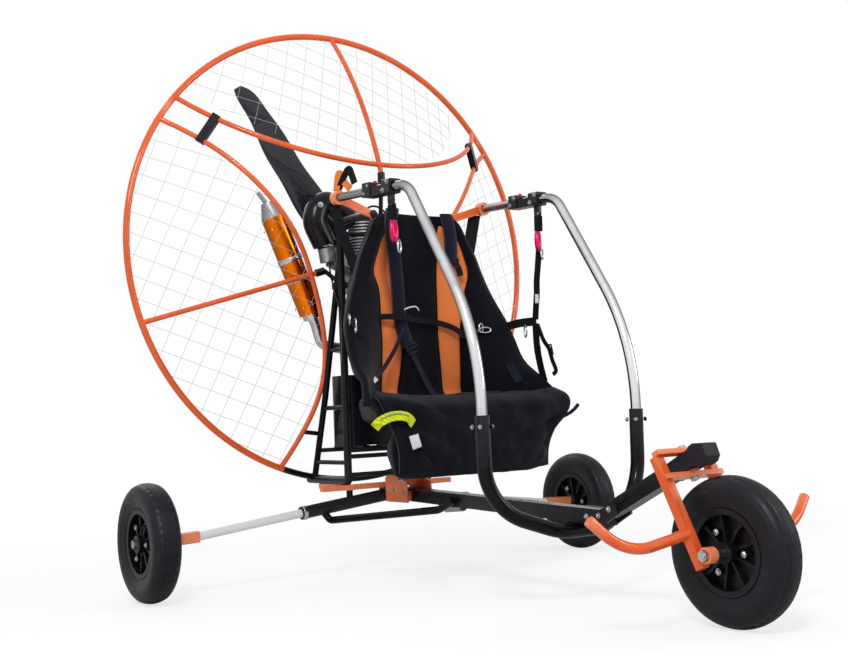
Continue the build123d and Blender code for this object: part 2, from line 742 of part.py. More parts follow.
# Cage sections: an arc of the ring, an inner tube that bows forward, a spoke.
# The inner tubes' and spokes' outer ends lie on the ring, at these angles
TOP_INNER_ANGLE = 39.7
SIDE_INNER_ANGLE = 32.5
LOW_INNER_ANGLE = -68.9
TOP_SPOKE_BOW = (0.0, 110.0, 1580.0)
SIDE_INNER_BOW = (
    (528, 172, 1363),
    (421, 86, 1256),
    (329, 50, 1147),
    (253, 60, 1043),
    (195, 78, 908),
    (161, 111, 594),
    (207, 163, 448),
)
with BuildPart() as cage_top:
    with BuildLine(ring_plane) as arc:
        CenterArc((0, 0), RING_R, TOP_JOINT_ANGLE, 180 - 2 * TOP_JOINT_ANGLE)
    round_sweep(arc, RING_TUBE)
    bow = at(TOP_INNER_BOW[0], TOP_INNER_BOW[1], RING_Z + TOP_INNER_BOW[2])
    with BuildLine() as top_inner:
        ThreePointArc(ring_point(-1, TOP_INNER_ANGLE), bow, ring_point(1, TOP_INNER_ANGLE))
    round_sweep(top_inner, INNER_TUBE)
    with BuildLine() as spoke:
        ThreePointArc(ring_point(1, 90), at(*TOP_SPOKE_BOW), at(*TOP_SOCKET))
    round_sweep(spoke, INNER_TUBE)
    add(cross_tubes.part, mode=Mode.SUBTRACT)
save(cage_top.part, "cage_top")

cage_sides = {}
side_inners = {}
for side, sign in SIDES:
    start_angle = LOW_JOINT_ANGLE if sign > 0 else 180 - TOP_JOINT_ANGLE
    with BuildPart() as cage_side:
        with BuildLine(ring_plane) as arc:
            CenterArc((0, 0), RING_R, start_angle, TOP_JOINT_ANGLE - LOW_JOINT_ANGLE)
        round_sweep(arc, RING_TUBE)
        with BuildLine() as side_inner:
            Spline(
                ring_point(sign, SIDE_INNER_ANGLE),
                *[at(sign * x, y, z) for x, y, z in SIDE_INNER_BOW],
                ring_point(sign, LOW_INNER_ANGLE),
            )
        round_sweep(side_inner, INNER_TUBE)
        spoke_end = at(sign * SPOKE_SOCKET[0], *SPOKE_SOCKET[1:])
        rod(ring_point(sign, SPOKE_ANGLE), spoke_end, INNER_TUBE / 2)
        add(trusses[side], mode=Mode.SUBTRACT)
        add(base_arc.part, mode=Mode.SUBTRACT)
        add(cage_top.part, mode=Mode.SUBTRACT)
    cage_sides[side] = cage_side.part
    side_inners[side] = side_inner.line
    save(cage_side.part, f"cage_{side}")

# Flat straps that tie the top inner tube to each side inner tube; each end is
# placed by its share of the tube's length, counted from the ring
STRAP_TOP_SHARE = 0.113
STRAP_SIDE_SHARE = 0.11
STRAP_W = 26.0
STRAP_T = 22.0
STRAP_PAST = 11.0
for side, sign in SIDES:
    top_end = top_inner.line @ (STRAP_TOP_SHARE if sign < 0 else 1 - STRAP_TOP_SHARE)
    low_end = side_inners[side] @ STRAP_SIDE_SHARE
    run = (top_end - low_end).normalized()
    with BuildPart() as strap:
        bar(
            low_end - run * STRAP_PAST,
            top_end + run * STRAP_PAST,
            STRAP_W,
            STRAP_T,
            x_dir=side_inners[side] % STRAP_SIDE_SHARE,
        )
        add(cage_top.part, mode=Mode.SUBTRACT)
        add(cage_sides[side], mode=Mode.SUBTRACT)
    save(strap.part, f"cage_strap_{side}")

# Engine behind the seat. The crankshaft lies along the machine, below the
# propeller's axis; the finned cylinder stands on the case
CRANK_Y = 45.0
CRANK_Z = RING_Z - 97.0
CASE_REAR_Y = 130.0
CASE_R = 62.0
COVER_Y = 25.0
COVER_R = 78.0
MOUNT_DROP = 35.0
MOUNT_Z = CRANK_Z - MOUNT_DROP
MOUNT_W = 42.0
MOUNT_H = 20.0
with BuildPart() as crankcase:
    rod(at(0, CRANK_Y, CRANK_Z), at(0, CASE_REAR_Y, CRANK_Z), CASE_R)
    rod(at(0, COVER_Y, CRANK_Z), at(0, CRANK_Y, CRANK_Z), COVER_R)
    bar(
        at(-POST_X, COVER_Y - 1, MOUNT_Z),
        at(POST_X, COVER_Y - 1, MOUNT_Z),
        MOUNT_W,
        MOUNT_H,
        x_dir=(0, 1, 0),
    )
    for side, sign in SIDES:
        add(trusses[side], mode=Mode.SUBTRACT)
save(crankcase.part, "crankcase")

PROP_AXIS = Vector(0, cos(radians(RING_LEAN)), -sin(radians(RING_LEAN)))
PROP_CENTRE = at(0, RING_Y, RING_Z)
GEAR_LOW_R = 48.0
GEAR_TOP_R = 40.0
GEAR_T = 48.0
SHAFT_R = 18.0
SHAFT_LEN = 60.0
with BuildPart() as gearbox:
    with BuildSketch(Plane(origin=at(0, CASE_REAR_Y, 0), x_dir=(1, 0, 0), z_dir=(0, -1, 0))):
        with Locations((0, CRANK_Z)):
            Circle(GEAR_LOW_R)
        with Locations((0, RING_Z)):
            Circle(GEAR_TOP_R)
        with Locations((0, (CRANK_Z + RING_Z) / 2)):
            Rectangle(2 * GEAR_TOP_R, RING_Z - CRANK_Z)
    extrude(amount=-GEAR_T)
    rod(
        PROP_CENTRE - PROP_AXIS * SHAFT_LEN,
        PROP_CENTRE - PROP_AXIS * (PROP_HUB_T / 2 + SIDE_GAP),
        SHAFT_R,
    )
save(gearbox.part, "gearbox")

CYLINDER_Y = 85.0
CYLINDER_R = 34.0
CYLINDER_TOP = 215.0
FIN_R = 52.0
FIN_T = 4.0
FIN_FIRST = 75
FIN_PITCH = 10
FIN_COUNT = 14
with BuildPart() as cylinder:
    rod(
        at(0, CYLINDER_Y, CRANK_Z + CASE_R - 7),
        at(0, CYLINDER_Y, CRANK_Z + CYLINDER_TOP),
        CYLINDER_R,
    )
    for count in range(FIN_COUNT):
        level = CRANK_Z + FIN_FIRST + count * FIN_PITCH
        rod(at(0, CYLINDER_Y, level), at(0, CYLINDER_Y, level + FIN_T), FIN_R)
    add(crankcase.part, mode=Mode.SUBTRACT)
    add(gearbox.part, mode=Mode.SUBTRACT)
save(cylinder.part, "cylinder")

# Airbox: a fat moulded elbow over the carburettor, braced to the cylinder
AIRBOX_D = 76.0
AIRBOX_BENDS = [42, 50]
AIRBOX_CURVE = (
    (-40, 98, 1118),
    (-148, 100, 1204),
    (-176, 100, 1112),
    (-140, 100, 1042),
)
CARB_TOP = (-136.0, 100.0, 1030.0)
CARB_LOW = (-128.0, 100.0, 985.0)
CARB_R = 26.0
MANIFOLD_D = 30.0
with BuildPart() as carburettor:
    rod(at(*CARB_TOP), at(*CARB_LOW), CARB_R)
    rod(at(*CARB_LOW), at(-40, 95, CRANK_Z + 10), MANIFOLD_D / 2)
    add(crankcase.part, mode=Mode.SUBTRACT)
save(carburettor.part, "carburettor")

with BuildPart() as airbox:
    tube([at(*point) for point in AIRBOX_CURVE], AIRBOX_BENDS, AIRBOX_D)
    rod(at(*AIRBOX_CURVE[-1]), at(*CARB_TOP), CARB_R)
    add(cylinder.part, mode=Mode.SUBTRACT)
    add(carburettor.part, mode=Mode.SUBTRACT)
save(airbox.part, "airbox")

# Silencer: an orange can with cast ends, the top one a cone with the outlet
SILENCER_R = 38.5
SILENCER_TOP = (-291.0, 157.0, 1130.0)
SILENCER_LOW = (-166.0, 157.0, 827.0)
CONE_LEN = 50.0
CONE_TIP_R = 20.0
OUTLET_R = 7.0
OUTLET_TIP = (-342.0, 157.0, 1206.0)
END_CAP_LEN = 18.0
END_CAP_R = 30.0
can_run = (at(*SILENCER_TOP) - at(*SILENCER_LOW)).normalized()
cone_tip = at(*SILENCER_TOP) + can_run * CONE_LEN
with BuildPart() as silencer:
    rod(at(*SILENCER_LOW), at(*SILENCER_TOP), SILENCER_R)
save(silencer.part, "silencer")

with BuildPart() as silencer_cap:
    with BuildSketch(Plane(origin=at(*SILENCER_TOP), z_dir=can_run)):
        Circle(SILENCER_R)
    with BuildSketch(Plane(origin=cone_tip, z_dir=can_run)):
        Circle(CONE_TIP_R)
    loft()
    rod(cone_tip - can_run * 15, at(*OUTLET_TIP), OUTLET_R)
save(silencer_cap.part, "silencer_cap")

EXHAUST_D = 34.0
EXHAUST_BENDS = [35, 60, 60, 35]
EXHAUST_CURVE = (
    (-150, 157, 788),
    (-132, 157, 725),
    (0, 120, 695),
    (112, 90, 760),
    (112, 85, 1000),
    (53, 85, 1030),
)
can_end = at(*SILENCER_LOW) - can_run * END_CAP_LEN
with BuildPart() as exhaust:
    rod(at(*SILENCER_LOW), can_end, END_CAP_R)
    rod(can_end, at(*EXHAUST_CURVE[0]), EXHAUST_D / 2)
    tube([at(*point) for point in EXHAUST_CURVE], EXHAUST_BENDS, EXHAUST_D)
    add(silencer.part, mode=Mode.SUBTRACT)
    add(cylinder.part, mode=Mode.SUBTRACT)
save(exhaust.part, "exhaust_pipe")

# Fuel tank on its tray, low between the trusses
TANK_Z = 400.0
TANK_H = 220.0
TANK_Y = 70.0
TANK_W = 250.0
TANK_DEPTH = 120.0
TANK_ROUND = 30.0
TRAY_BAR_X = 80.0
TRAY_BAR_W = 24.0
TRAY_BAR_T = 6.0
TRAY_SEAT = 0.5
TRAY_Z = TANK_Z - TRAY_BAR_T - RUNG_TUBE / 2
with BuildPart() as tank:
    with BuildSketch(Plane(origin=at(0, TANK_Y, TANK_Z))):
        RectangleRounded(TANK_W, TANK_DEPTH, TANK_ROUND)
    extrude(amount=TANK_H)
save(tank.part, "fuel_tank")

with BuildPart() as tray:
    for tray_y in (POST_Y, rear_post_y(TRAY_Z)):
        rod(at(-POST_X, tray_y, TRAY_Z), at(POST_X, tray_y, TRAY_Z), RUNG_TUBE / 2)
    for sign in (-1, 1):
        bar_z = TANK_Z - TRAY_BAR_T / 2 - TRAY_SEAT
        bar(
            at(sign * TRAY_BAR_X, POST_Y, bar_z),
            at(sign * TRAY_BAR_X, rear_post_y(TRAY_Z), bar_z),
            TRAY_BAR_W,
            TRAY_BAR_T + 2 * TRAY_SEAT,
        )
    for side, sign in SIDES:
        add(trusses[side], mode=Mode.SUBTRACT)
    add(tank.part, mode=Mode.SUBTRACT)
save(tray.part, "tank_tray")

# Propeller: hub and two blades, spinning about the cage ring's axis
prop_plane = Plane(origin=PROP_CENTRE, x_dir=(1, 0, 0), z_dir=PROP_AXIS * -1)
# Blade sections: radius, chord, thickness, pitch, shift toward the leading edge
BLADE_STATIONS = (
    (30, 56, 34, 28, 0),
    (110, 88, 22, 30, 0),
    (225, 106, 14, 24, 2),
    (430, 92, 9, 15, 4),
    (585, 64, 6, 11, 4),
    (640, 26, 4, 10, 16),
)
with BuildPart() as prop_hub:
    with BuildSketch(prop_plane.offset(-PROP_HUB_T / 2)):
        Circle(PROP_HUB_R)
    extrude(amount=PROP_HUB_T)
save(prop_hub.part, "propeller_hub")
for turn, name in ((PROP_TURN, "upper"), (PROP_TURN + 180, "lower")):
    out = prop_plane.from_local_coords(Vector(-sin(radians(turn)), cos(radians(turn)), 0))
    out = (out - PROP_CENTRE).normalized()
    with BuildPart() as blade:
        for radius, chord, thick, pitch, shift in BLADE_STATIONS:
            chord_dir = PROP_AXIS.rotate(Axis((0, 0, 0), out), 90 - pitch)
            section_plane = Plane(
                origin=PROP_CENTRE + out * radius + chord_dir * shift,
                x_dir=chord_dir,
                z_dir=out,
            )
            with BuildSketch(section_plane):
                Ellipse(chord / 2, thick / 2)
        loft()
        add(prop_hub.part, mode=Mode.SUBTRACT)
    save(blade.part, f"propeller_blade_{name}")

# Harness: a bucket seat that is narrow at the posts and wide at the front,
# with the container bag beneath. Outlines are half widths and heights
SOFT_GAP = 0.3
BACK_REAR_Y = POST_Y - FRAME_TUBE / 2 - SOFT_GAP
BACK_FRONT_Y = -234.0
SEAT_TOP_Z = 585.0
BACK_FRONT = (
    (118, 1090),
    (150, 1072),
    (190, 1000),
    (222, 918),
    (252, 838),
    (264, 724),
    (240, SEAT_TOP_Z + SOFT_GAP),
)
BACK_REAR = (
    (60, 1048),
    (84, 1030),
    (116, 960),
    (140, 890),
    (150, 827),
    (150, 715),
    (128, SEAT_TOP_Z + SOFT_GAP),
)
with BuildPart() as backrest:
    for back_y, outline in ((BACK_REAR_Y, BACK_REAR), (BACK_FRONT_Y, BACK_FRONT)):
        mirrored = [(-x, z) for x, z in outline] + list(reversed(outline))
        with BuildSketch(Plane(origin=at(0, back_y, 0), x_dir=(1, 0, 0), z_dir=(0, -1, 0))):
            Polygon(*mirrored, align=None)
    loft(ruled=True)
save(backrest.part, "backrest")

# Cushion: its side outline (distance from the rear axle, height), cut to the
# plan seen from above (half width, distance from the rear axle)
SEAT_UNDER_Z = 470.0
SEAT_SIDE = (
    (BACK_REAR_Y, SEAT_UNDER_Z),
    (BACK_REAR_Y, SEAT_TOP_Z),
    (BACK_FRONT_Y, SEAT_TOP_Z),
    (-478, 540),
    (-498, 500),
    (-494, 440),
    (-473, 440),
    (-473, SEAT_UNDER_Z),
)
SEAT_PLAN = (
    (128, BACK_REAR_Y),
    (240, BACK_FRONT_Y),
    (342, -455),
    (330, -498),
)
SEAT_ROUND = 20.0
side_cut = Plane(origin=at(0, 0, 0), x_dir=(0, 1, 0), z_dir=(1, 0, 0))
with BuildPart() as seat:
    with BuildSketch(side_cut):
        Polygon(*SEAT_SIDE, align=None)
    extrude(amount=SEAT_PLAN[-2][0], both=True)
    with BuildSketch(Plane(origin=at(0, 0, 0))):
        Polygon(*SEAT_PLAN, *[(-x, y) for x, y in reversed(SEAT_PLAN)], align=None)
    extrude(amount=2 * SEAT_TOP_Z, mode=Mode.INTERSECT)
    fillet(seat.edges().filter_by(Axis.X).group_by(Axis.Y)[0], SEAT_ROUND)
save(seat.part, "seat")

BAG_BOTTOM_Z = 311.0
BAG_PLAN = (
    (88, -150),
    (140, -235),
    (262, -441),
    (254, -470),
)
BAG_ROUND = 25.0
with BuildPart() as bag:
    with BuildSketch(Plane(origin=at(0, 0, BAG_BOTTOM_Z))):
        Polygon(*BAG_PLAN, *[(-x, y) for x, y in reversed(BAG_PLAN)], align=None)
    extrude(amount=SEAT_UNDER_Z - SOFT_GAP - BAG_BOTTOM_Z)
    fillet(bag.edges().filter_by(Axis.Z).group_by(Axis.Y)[0], BAG_ROUND)
save(bag.part, "seat_bag")
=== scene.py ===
import json
from math import cos, exp, pi, radians, sin
import bpy
import bmesh
from mathutils import Matrix, Vector, noise


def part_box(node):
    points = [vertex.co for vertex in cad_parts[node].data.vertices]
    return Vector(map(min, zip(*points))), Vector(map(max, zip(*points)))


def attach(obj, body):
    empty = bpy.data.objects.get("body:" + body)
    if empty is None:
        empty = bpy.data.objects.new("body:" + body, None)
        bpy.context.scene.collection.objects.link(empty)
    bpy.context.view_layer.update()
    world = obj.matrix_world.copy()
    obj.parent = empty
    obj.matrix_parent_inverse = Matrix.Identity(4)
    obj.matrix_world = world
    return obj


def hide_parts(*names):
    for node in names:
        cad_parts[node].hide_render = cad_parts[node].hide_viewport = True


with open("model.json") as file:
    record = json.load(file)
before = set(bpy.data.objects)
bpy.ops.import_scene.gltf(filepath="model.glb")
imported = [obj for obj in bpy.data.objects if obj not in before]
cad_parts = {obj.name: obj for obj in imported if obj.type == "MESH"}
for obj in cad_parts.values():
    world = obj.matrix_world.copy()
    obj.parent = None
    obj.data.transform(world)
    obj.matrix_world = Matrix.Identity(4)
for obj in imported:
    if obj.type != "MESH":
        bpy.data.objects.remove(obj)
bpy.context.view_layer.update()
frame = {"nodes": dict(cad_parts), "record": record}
NODES = frame["nodes"]
WHITE = (1, 1, 1, 1)
BLACK = (0, 0, 0, 1)
# Millimetres in a metre
MM = 1000

# The rear axle's line, from which every place below is given
AXLE_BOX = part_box("tyre_rear_left")
REAR_AXLE_Y = (AXLE_BOX[0][1] + AXLE_BOX[1][1]) / 2
SIDES = (("right", -1), ("left", 1))

# Camera: measured from the photograph
CAMERA_AT = Vector((-1.980, REAR_AXLE_Y - 3.152, 0.489))
AZIMUTH = radians(-34.202)
PITCH = radians(4.036)
ROLL = radians(-2.377)
FOCAL_PX = 1175.76
IMAGE_W = 848
SENSOR_MM = 36.0


def at(x, y, z):
    """A point in metres from millimetres: left, behind the rear axle, up."""
    return Vector((x / MM, REAR_AXLE_Y + y / MM, z / MM))


def places(*points):
    """Several such points."""
    return [at(*point) for point in points]


def in_mm(point):
    """The way back: a point's places in millimetres."""
    return point.x * MM, (point.y - REAR_AXLE_Y) * MM, point.z * MM


def unit(value):
    """A value held between none and one."""
    return max(0.0, min(1.0, value))


def add_object(name, data):
    """Put a new object into the scene."""
    made = bpy.data.objects.new(name, data)
    bpy.context.collection.objects.link(made)
    return made


def make_camera():
    """Stand the camera where the photograph was taken."""
    data = bpy.data.cameras.new("camera")
    data.sensor_width = SENSOR_MM
    data.lens = FOCAL_PX / IMAGE_W * SENSOR_MM
    camera = add_object("camera", data)
    forward = Vector((-sin(AZIMUTH) * cos(PITCH), cos(AZIMUTH) * cos(PITCH), sin(PITCH)))
    right = Vector((cos(AZIMUTH), sin(AZIMUTH), 0))
    up = right.cross(forward)
    right_rolled = right * cos(ROLL) + up * sin(ROLL)
    up_rolled = up * cos(ROLL) - right * sin(ROLL)
    turn = Matrix((right_rolled, up_rolled, -forward)).transposed()
    camera.matrix_world = Matrix.Translation(CAMERA_AT) @ turn.to_4x4()
    bpy.context.scene.camera = camera


make_camera()


def rgb(code):
    """A linear colour from a hex code of display values."""
    parts = [int(code[i:i + 2], 16) / 255 for i in (0, 2, 4)]
    lift = [c / 12.92 if c <= 0.04045 else ((c + 0.055) / 1.055) ** 2.4 for c in parts]
    return (*lift, 1.0)


# Sockets of a colour mix: its factor, its two colours and its result
MIX_FACTOR, MIX_FIRST, MIX_SECOND, MIX_RESULT = 0, 6, 7, 2
# The range in which a noise's values mostly lie
NOISE_LOW, NOISE_HIGH = 0.3, 0.75


class Nodes:
    """A small builder for the nodes of one tree."""

    def __init__(self, tree):
        self.tree = tree

    def put(self, target, value):
        """Link a socket into an input, or give it a plain value."""
        if isinstance(value, bpy.types.NodeSocket):
            self.tree.links.new(value, target)
        else:
            target.default_value = value

    def node(self, kind, inputs=None, **settings):
        """Add a node with its inputs and settings."""
        made = self.tree.nodes.new(kind)
        for key, value in settings.items():
            setattr(made, key, value)
        for key, value in (inputs or {}).items():
            self.put(made.inputs[key], value)
        return made

    def math(self, operation, first, second):
        """Work out one number from two."""
        return self.node("ShaderNodeMath", {0: first, 1: second}, operation=operation).outputs[0]


class Shader(Nodes):
    """One material, with noise for its colour, roughness and bump."""

    def __init__(self, name, code="FFFFFF"):
        self.base = rgb(code)
        self.material = bpy.data.materials.new(name)
        self.material.use_nodes = True
        super().__init__(self.material.node_tree)
        self.bsdf = self.tree.nodes["Principled BSDF"]
        self.coords = self.tree.nodes.new("ShaderNodeTexCoord").outputs["Object"]

    def shade(self, factor):
        """The base colour, darker or lighter."""
        return (*[min(1.0, c * factor) for c in self.base[:3]], 1.0)

    def noise(self, scale, detail=4.0, stretch=(1, 1, 1)):
        """Noise in the piece's own space."""
        spread = self.node("ShaderNodeMapping", {"Vector": self.coords, "Scale": stretch})
        inputs = {"Vector": spread.outputs["Vector"], "Scale": scale, "Detail": detail}
        return self.node("ShaderNodeTexNoise", inputs).outputs["Fac"]

    def wave(self, pitch, distortion, direction):
        """Threads or ribs of a pitch in metres."""
        inputs = {"Vector": self.coords, "Scale": 0.5 / pitch / pi, "Distortion": distortion}
        return self.node("ShaderNodeTexWave", inputs, bands_direction=direction).outputs["Fac"]

    def ramp(self, value, low=NOISE_LOW, high=NOISE_HIGH, first=BLACK, last=WHITE):
        """Values from low to high as shades between two colours."""
        made = self.node("ShaderNodeValToRGB", {"Fac": value})
        made.color_ramp.elements[0].position = low
        made.color_ramp.elements[1].position = high
        made.color_ramp.elements[0].color = first
        made.color_ramp.elements[1].color = last
        return made.outputs["Color"]

    def spread(self, value, middle, width):
        """A noise turned into a grey between middle - width and middle + width."""
        low, high = middle - width, middle + width
        return self.ramp(value, first=(low, low, low, 1), last=(high, high, high, 1))

    def mix(self, factor, first, second):
        """Blend two colours by a factor."""
        inputs = {MIX_FACTOR: factor, MIX_FIRST: first, MIX_SECOND: second}
        return self.node("ShaderNodeMix", inputs, data_type="RGBA").outputs[MIX_RESULT]

    def edges(self, low=0.52, high=0.6):
        """White along a mesh's outer edges."""
        geometry = self.node("ShaderNodeNewGeometry")
        return self.ramp(geometry.outputs["Pointiness"], low, high)

    def bump(self, height, strength, distance, normal=None):
        """Raise the surface, over an earlier bump if given."""
        inputs = {"Height": height, "Strength": strength, "Distance": distance}
        if normal is not None:
            inputs["Normal"] = normal
        return self.node("ShaderNodeBump", inputs).outputs["Normal"]

    def finish(self, colour, roughness, normal, **plain):
        """Wire the surface and set its plain inputs."""
        inputs = {"Base Color": colour, "Roughness": roughness, "Normal": normal}
        for key, value in (inputs | plain).items():
            self.put(self.bsdf.inputs[key.replace("_", " ")], value)
        return self.material


def painted(name, code, roughness, wear, coat=0.25):
    """Powder coat: fine orange-peel bump, cloudy tone, dust and rubbed edges."""
    s = Shader(name, code)
    cloud = s.mix(s.ramp(s.noise(9), 0.35, 0.7), s.shade(0.88), s.shade(1.08))
    dust = s.mix(s.ramp(s.noise(60, 6), 0.6, 0.85), cloud, s.mix(0.02, cloud, rgb("A8A49C")))
    worn = s.mix(s.edges(), dust, wear)
    normal = s.bump(s.noise(900, 2), 0.1, 0.0004)
    rough = s.spread(s.noise(40), roughness, 0.07)
    return s.finish(worn, rough, normal, Coat_Weight=coat, Coat_Roughness=0.08, Specular_IOR_Level=0.12)


def metal(name, code, roughness, stretch=(1, 1, 1), grain=500, bump=0.08, painted_reflection_share=0.55):
    """Bare metal with fine scratches along it, and a painted reflection: darker where it turns from the
    eye.
    """
    s = Shader(name, code)
    streaks = s.noise(30, 5, stretch)
    tone = s.mix(s.ramp(streaks), s.shade(0.85), s.shade(1.05))
    grime = s.mix(s.ramp(s.noise(14, 8), 0.62, 0.88), tone, s.shade(0.55))
    rough = s.spread(s.noise(80, 6, stretch), roughness, roughness * 0.35)
    normal = s.bump(s.noise(grain, 3, stretch), bump, 0.0003)
    # Painted reflection: the colour darkens where the surface turns from the eye, standing in for dark
    # surroundings mirrored at the edges.
    facing = s.node("ShaderNodeLayerWeight", {"Blend": 0.5}).outputs["Facing"]
    painted_reflection = s.mix(s.ramp(facing, 0.12, 0.6), grime, s.shade(painted_reflection_share * 0.12))
    return s.finish(s.mix(painted_reflection_share, grime, painted_reflection), rough, normal, Metallic=1.0)


def moulded(name, code, roughness, grain=400, bump=0.2, dusty=0.12):
    """Moulded rubber or plastic with a fine pebble and settled dust."""
    s = Shader(name, code)
    cloud = s.mix(s.ramp(s.noise(12, 6), 0.35, 0.75), s.base, s.shade(1.4))
    settled = s.ramp(s.noise(35, 8), 0.5, 0.85, BLACK, (dusty, dusty, dusty, 1))
    worn = s.mix(s.edges(0.53, 0.62), s.mix(settled, cloud, rgb("6E6A62")), s.shade(2.6))
    normal = s.bump(s.noise(grain, 2), bump, 0.0005)
    rough = s.spread(s.noise(70, 4), roughness, 0.08)
    return s.finish(worn, rough, normal, Specular_IOR_Level=0.22)


def woven(name, code, pitch=0.0011, roughness=0.85, sheen=0.08, crease=0.35, tone=1.3):
    """Plain weave: two crossed thread waves with painted shade in their gaps, and creases with painted
    shade in their hollows and painted light on their crests.
    """
    s = Shader(name, code)
    threads_and_their_shade = s.math("MULTIPLY", s.wave(pitch, 0.3, "X"), s.wave(pitch, 0.3, "Z"))
    folds = s.noise(16, 5)
    # Painted shade and light: the tone follows the crease noise, darker in the hollows and lighter on the
    # crests.
    cloud = s.mix(s.ramp(folds), s.shade(0.8), s.shade(tone))
    lint = s.mix(s.ramp(s.noise(140, 8), 0.66, 0.8), cloud, s.mix(0.12, cloud, rgb("9A98A0")))
    # Painted shade: darker where the threads dip, in the gaps between them.
    colour = s.mix(s.ramp(threads_and_their_shade, 0.1, 0.9), s.shade(0.75), lint)
    normal = s.bump(folds, crease, 0.006)
    normal = s.bump(threads_and_their_shade, 0.25, 0.0004, normal)
    rough = s.spread(s.noise(50), roughness, 0.08)
    return s.finish(colour, rough, normal, Sheen_Weight=sheen, Sheen_Roughness=0.5, Specular_IOR_Level=0.08)


def ribbed(name, code, pitch):
    """Strap webbing: ribs across the run with painted shade between them, a raised edge and fuzz."""
    s = Shader(name, code)
    wave = s.wave(pitch, 0.6, "DIAGONAL")
    cloud = s.mix(s.ramp(s.noise(40, 6)), s.shade(0.8), s.shade(1.35))
    # Painted shade: darker in the hollows between the ribs.
    colour = s.mix(s.ramp(wave, 0.1, 0.9), s.shade(0.65), cloud)
    normal = s.bump(wave, 0.45, 0.0005, s.bump(s.noise(500, 2), 0.15, 0.0004))
    rough = s.spread(s.noise(60), 0.68, 0.08)
    return s.finish(colour, rough, normal, Sheen_Weight=0.03, Specular_IOR_Level=0.12)


TWILL_SCALE = 260.0


def carbon(name):
    """Lacquered carbon cloth: a checked twill under a clear coat."""
    s = Shader(name)
    twill = s.node("ShaderNodeTexChecker", {"Vector": s.coords, "Scale": TWILL_SCALE})
    tone = s.mix(twill.outputs["Fac"], rgb("0A0A10"), rgb("1A1A24"))
    cloud = s.mix(s.ramp(s.noise(8), 0.4, 0.8), tone, rgb("22222E"))
    normal = s.bump(twill.outputs["Fac"], 0.05, 0.0002)
    rough = s.spread(s.noise(60), 0.34, 0.06)
    return s.finish(cloud, rough, normal, Coat_Weight=0.6, Coat_Roughness=0.05, Specular_IOR_Level=0.3)


# After name and colour: roughness, then grain, bump, dust; or wear, coat; or stretch, grain, bump
MAT = {
    "rubber_black": moulded("tyre_rubber", "111218", 0.45, 900, 0.08, 0.05),
    "pad_rubber": moulded("pad_rubber", "101015", 0.6, 500, 0.25, 0.1),
    "rim_black": moulded("rim_plastic", "0B0B10", 0.38, 300, 0.1, 0.05),
    "black_paint": painted("black_coat", "07070D", 0.28, (0.02, 0.02, 0.022, 1), 0.12),
    "orange_paint": painted("orange_coat", "E85E24", 0.3, rgb("F08A5C"), 0.6),
    "white_paint": painted("white_coat", "FFFFFF", 0.28, rgb("E4E4E8")),
    "polished_metal": metal("polished_aluminium", "F6F6F8", 0.15, (1, 1, 0.06), bump=0.02, painted_reflection_share=1.0),
    "zinc": metal("zinc_plate", "D2D2D6", 0.28),
    "cast_metal": metal("cast_aluminium", "A9A9AD", 0.5, (1, 1, 1), 350, 0.35),
    "orange_anodised": metal("anodised_orange", "F27A08", 0.22, (1, 1, 0.1)),
    "black_plastic": moulded("gloss_moulding", "0D0D12", 0.22, 120, 0.05, 0.04),
    "blade_carbon": carbon("blade_carbon"),
    "harness_fabric": woven("navy_nylon", "0D0E18"),
}
FABRIC = MAT["harness_fabric"]
ORANGE_CLOTH = woven("orange_nylon", "FA8848", sheen=0.05, crease=0.3, tone=1.06)
WEBBING = ribbed("black_webbing", "0E0F15", 0.0022)
STRAP_CLOTH = woven("strap_nylon", "1C2030", 0.0014, 0.8, 0.1, 0.2)
PIPING = woven("piping", "08080C", 0.0009, 0.75, 0.03, 0.1)
NET_CORD = woven("net_cord", "D2D3D6", 0.0008, 0.7, 0.0, 0.0)
PINK = metal("pink_anodised", "F0306A", 0.25)
BUCKLE = moulded("buckle_plastic", "0C0C10", 0.35, 300, 0.1, 0.05)
YELLOW = ribbed("yellow_webbing", "D8E81E", 0.003)
GREY_CLOTH = woven("grey_band", "8C9094", 0.0012, 0.7, 0.05, 0.1)
WHITE_TAG = woven("white_tag", "ECECF0", 0.0009, 0.7, 0.05, 0.1)
RED_PLASTIC = moulded("red_lever", "C8241C", 0.35, 300, 0.1, 0.05)
THREAD = woven("seam_thread", "C9622E", 0.0009, 0.7, 0.0, 0.0)

for part in frame["record"]["subparts"]:
    for material_slot in NODES[part["node"]].material_slots:
        material_slot.material = MAT[part["material_slot"]]


# Piece makers
def add_piece(name, data, body):
    """Add one piece that rides on a body."""
    piece = add_object(name, data)
    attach(piece, body)
    return piece


def from_bmesh(name, build, material, body="chassis", smooth=True):
    """Turn a finished bmesh into one piece."""
    bmesh.ops.recalc_face_normals(build, faces=build.faces)
    mesh = bpy.data.meshes.new(name)
    build.to_mesh(mesh)
    build.free()
    mesh.materials.append(material)
    mesh.polygons.foreach_set("use_smooth", [smooth] * len(mesh.polygons))
    return add_piece(name, mesh, body)


def curve_piece(name, runs, radius, material, smooth=True, sides=2):
    """Round bars along several runs of points, as one piece."""
    curve = bpy.data.curves.new(name, "CURVE")
    curve.dimensions = "3D"
    curve.bevel_depth = radius
    curve.bevel_resolution = sides
    curve.use_fill_caps = True
    curve.materials.append(material)
    for points in runs:
        spline = curve.splines.new("NURBS" if smooth else "POLY")
        spline.points.add(len(points) - 1)
        for target, point in zip(spline.points, points):
            target.co = (*point, 1.0)
        if smooth:
            spline.order_u = 3
            spline.use_endpoint_u = True
    add_piece(name, curve, "chassis")


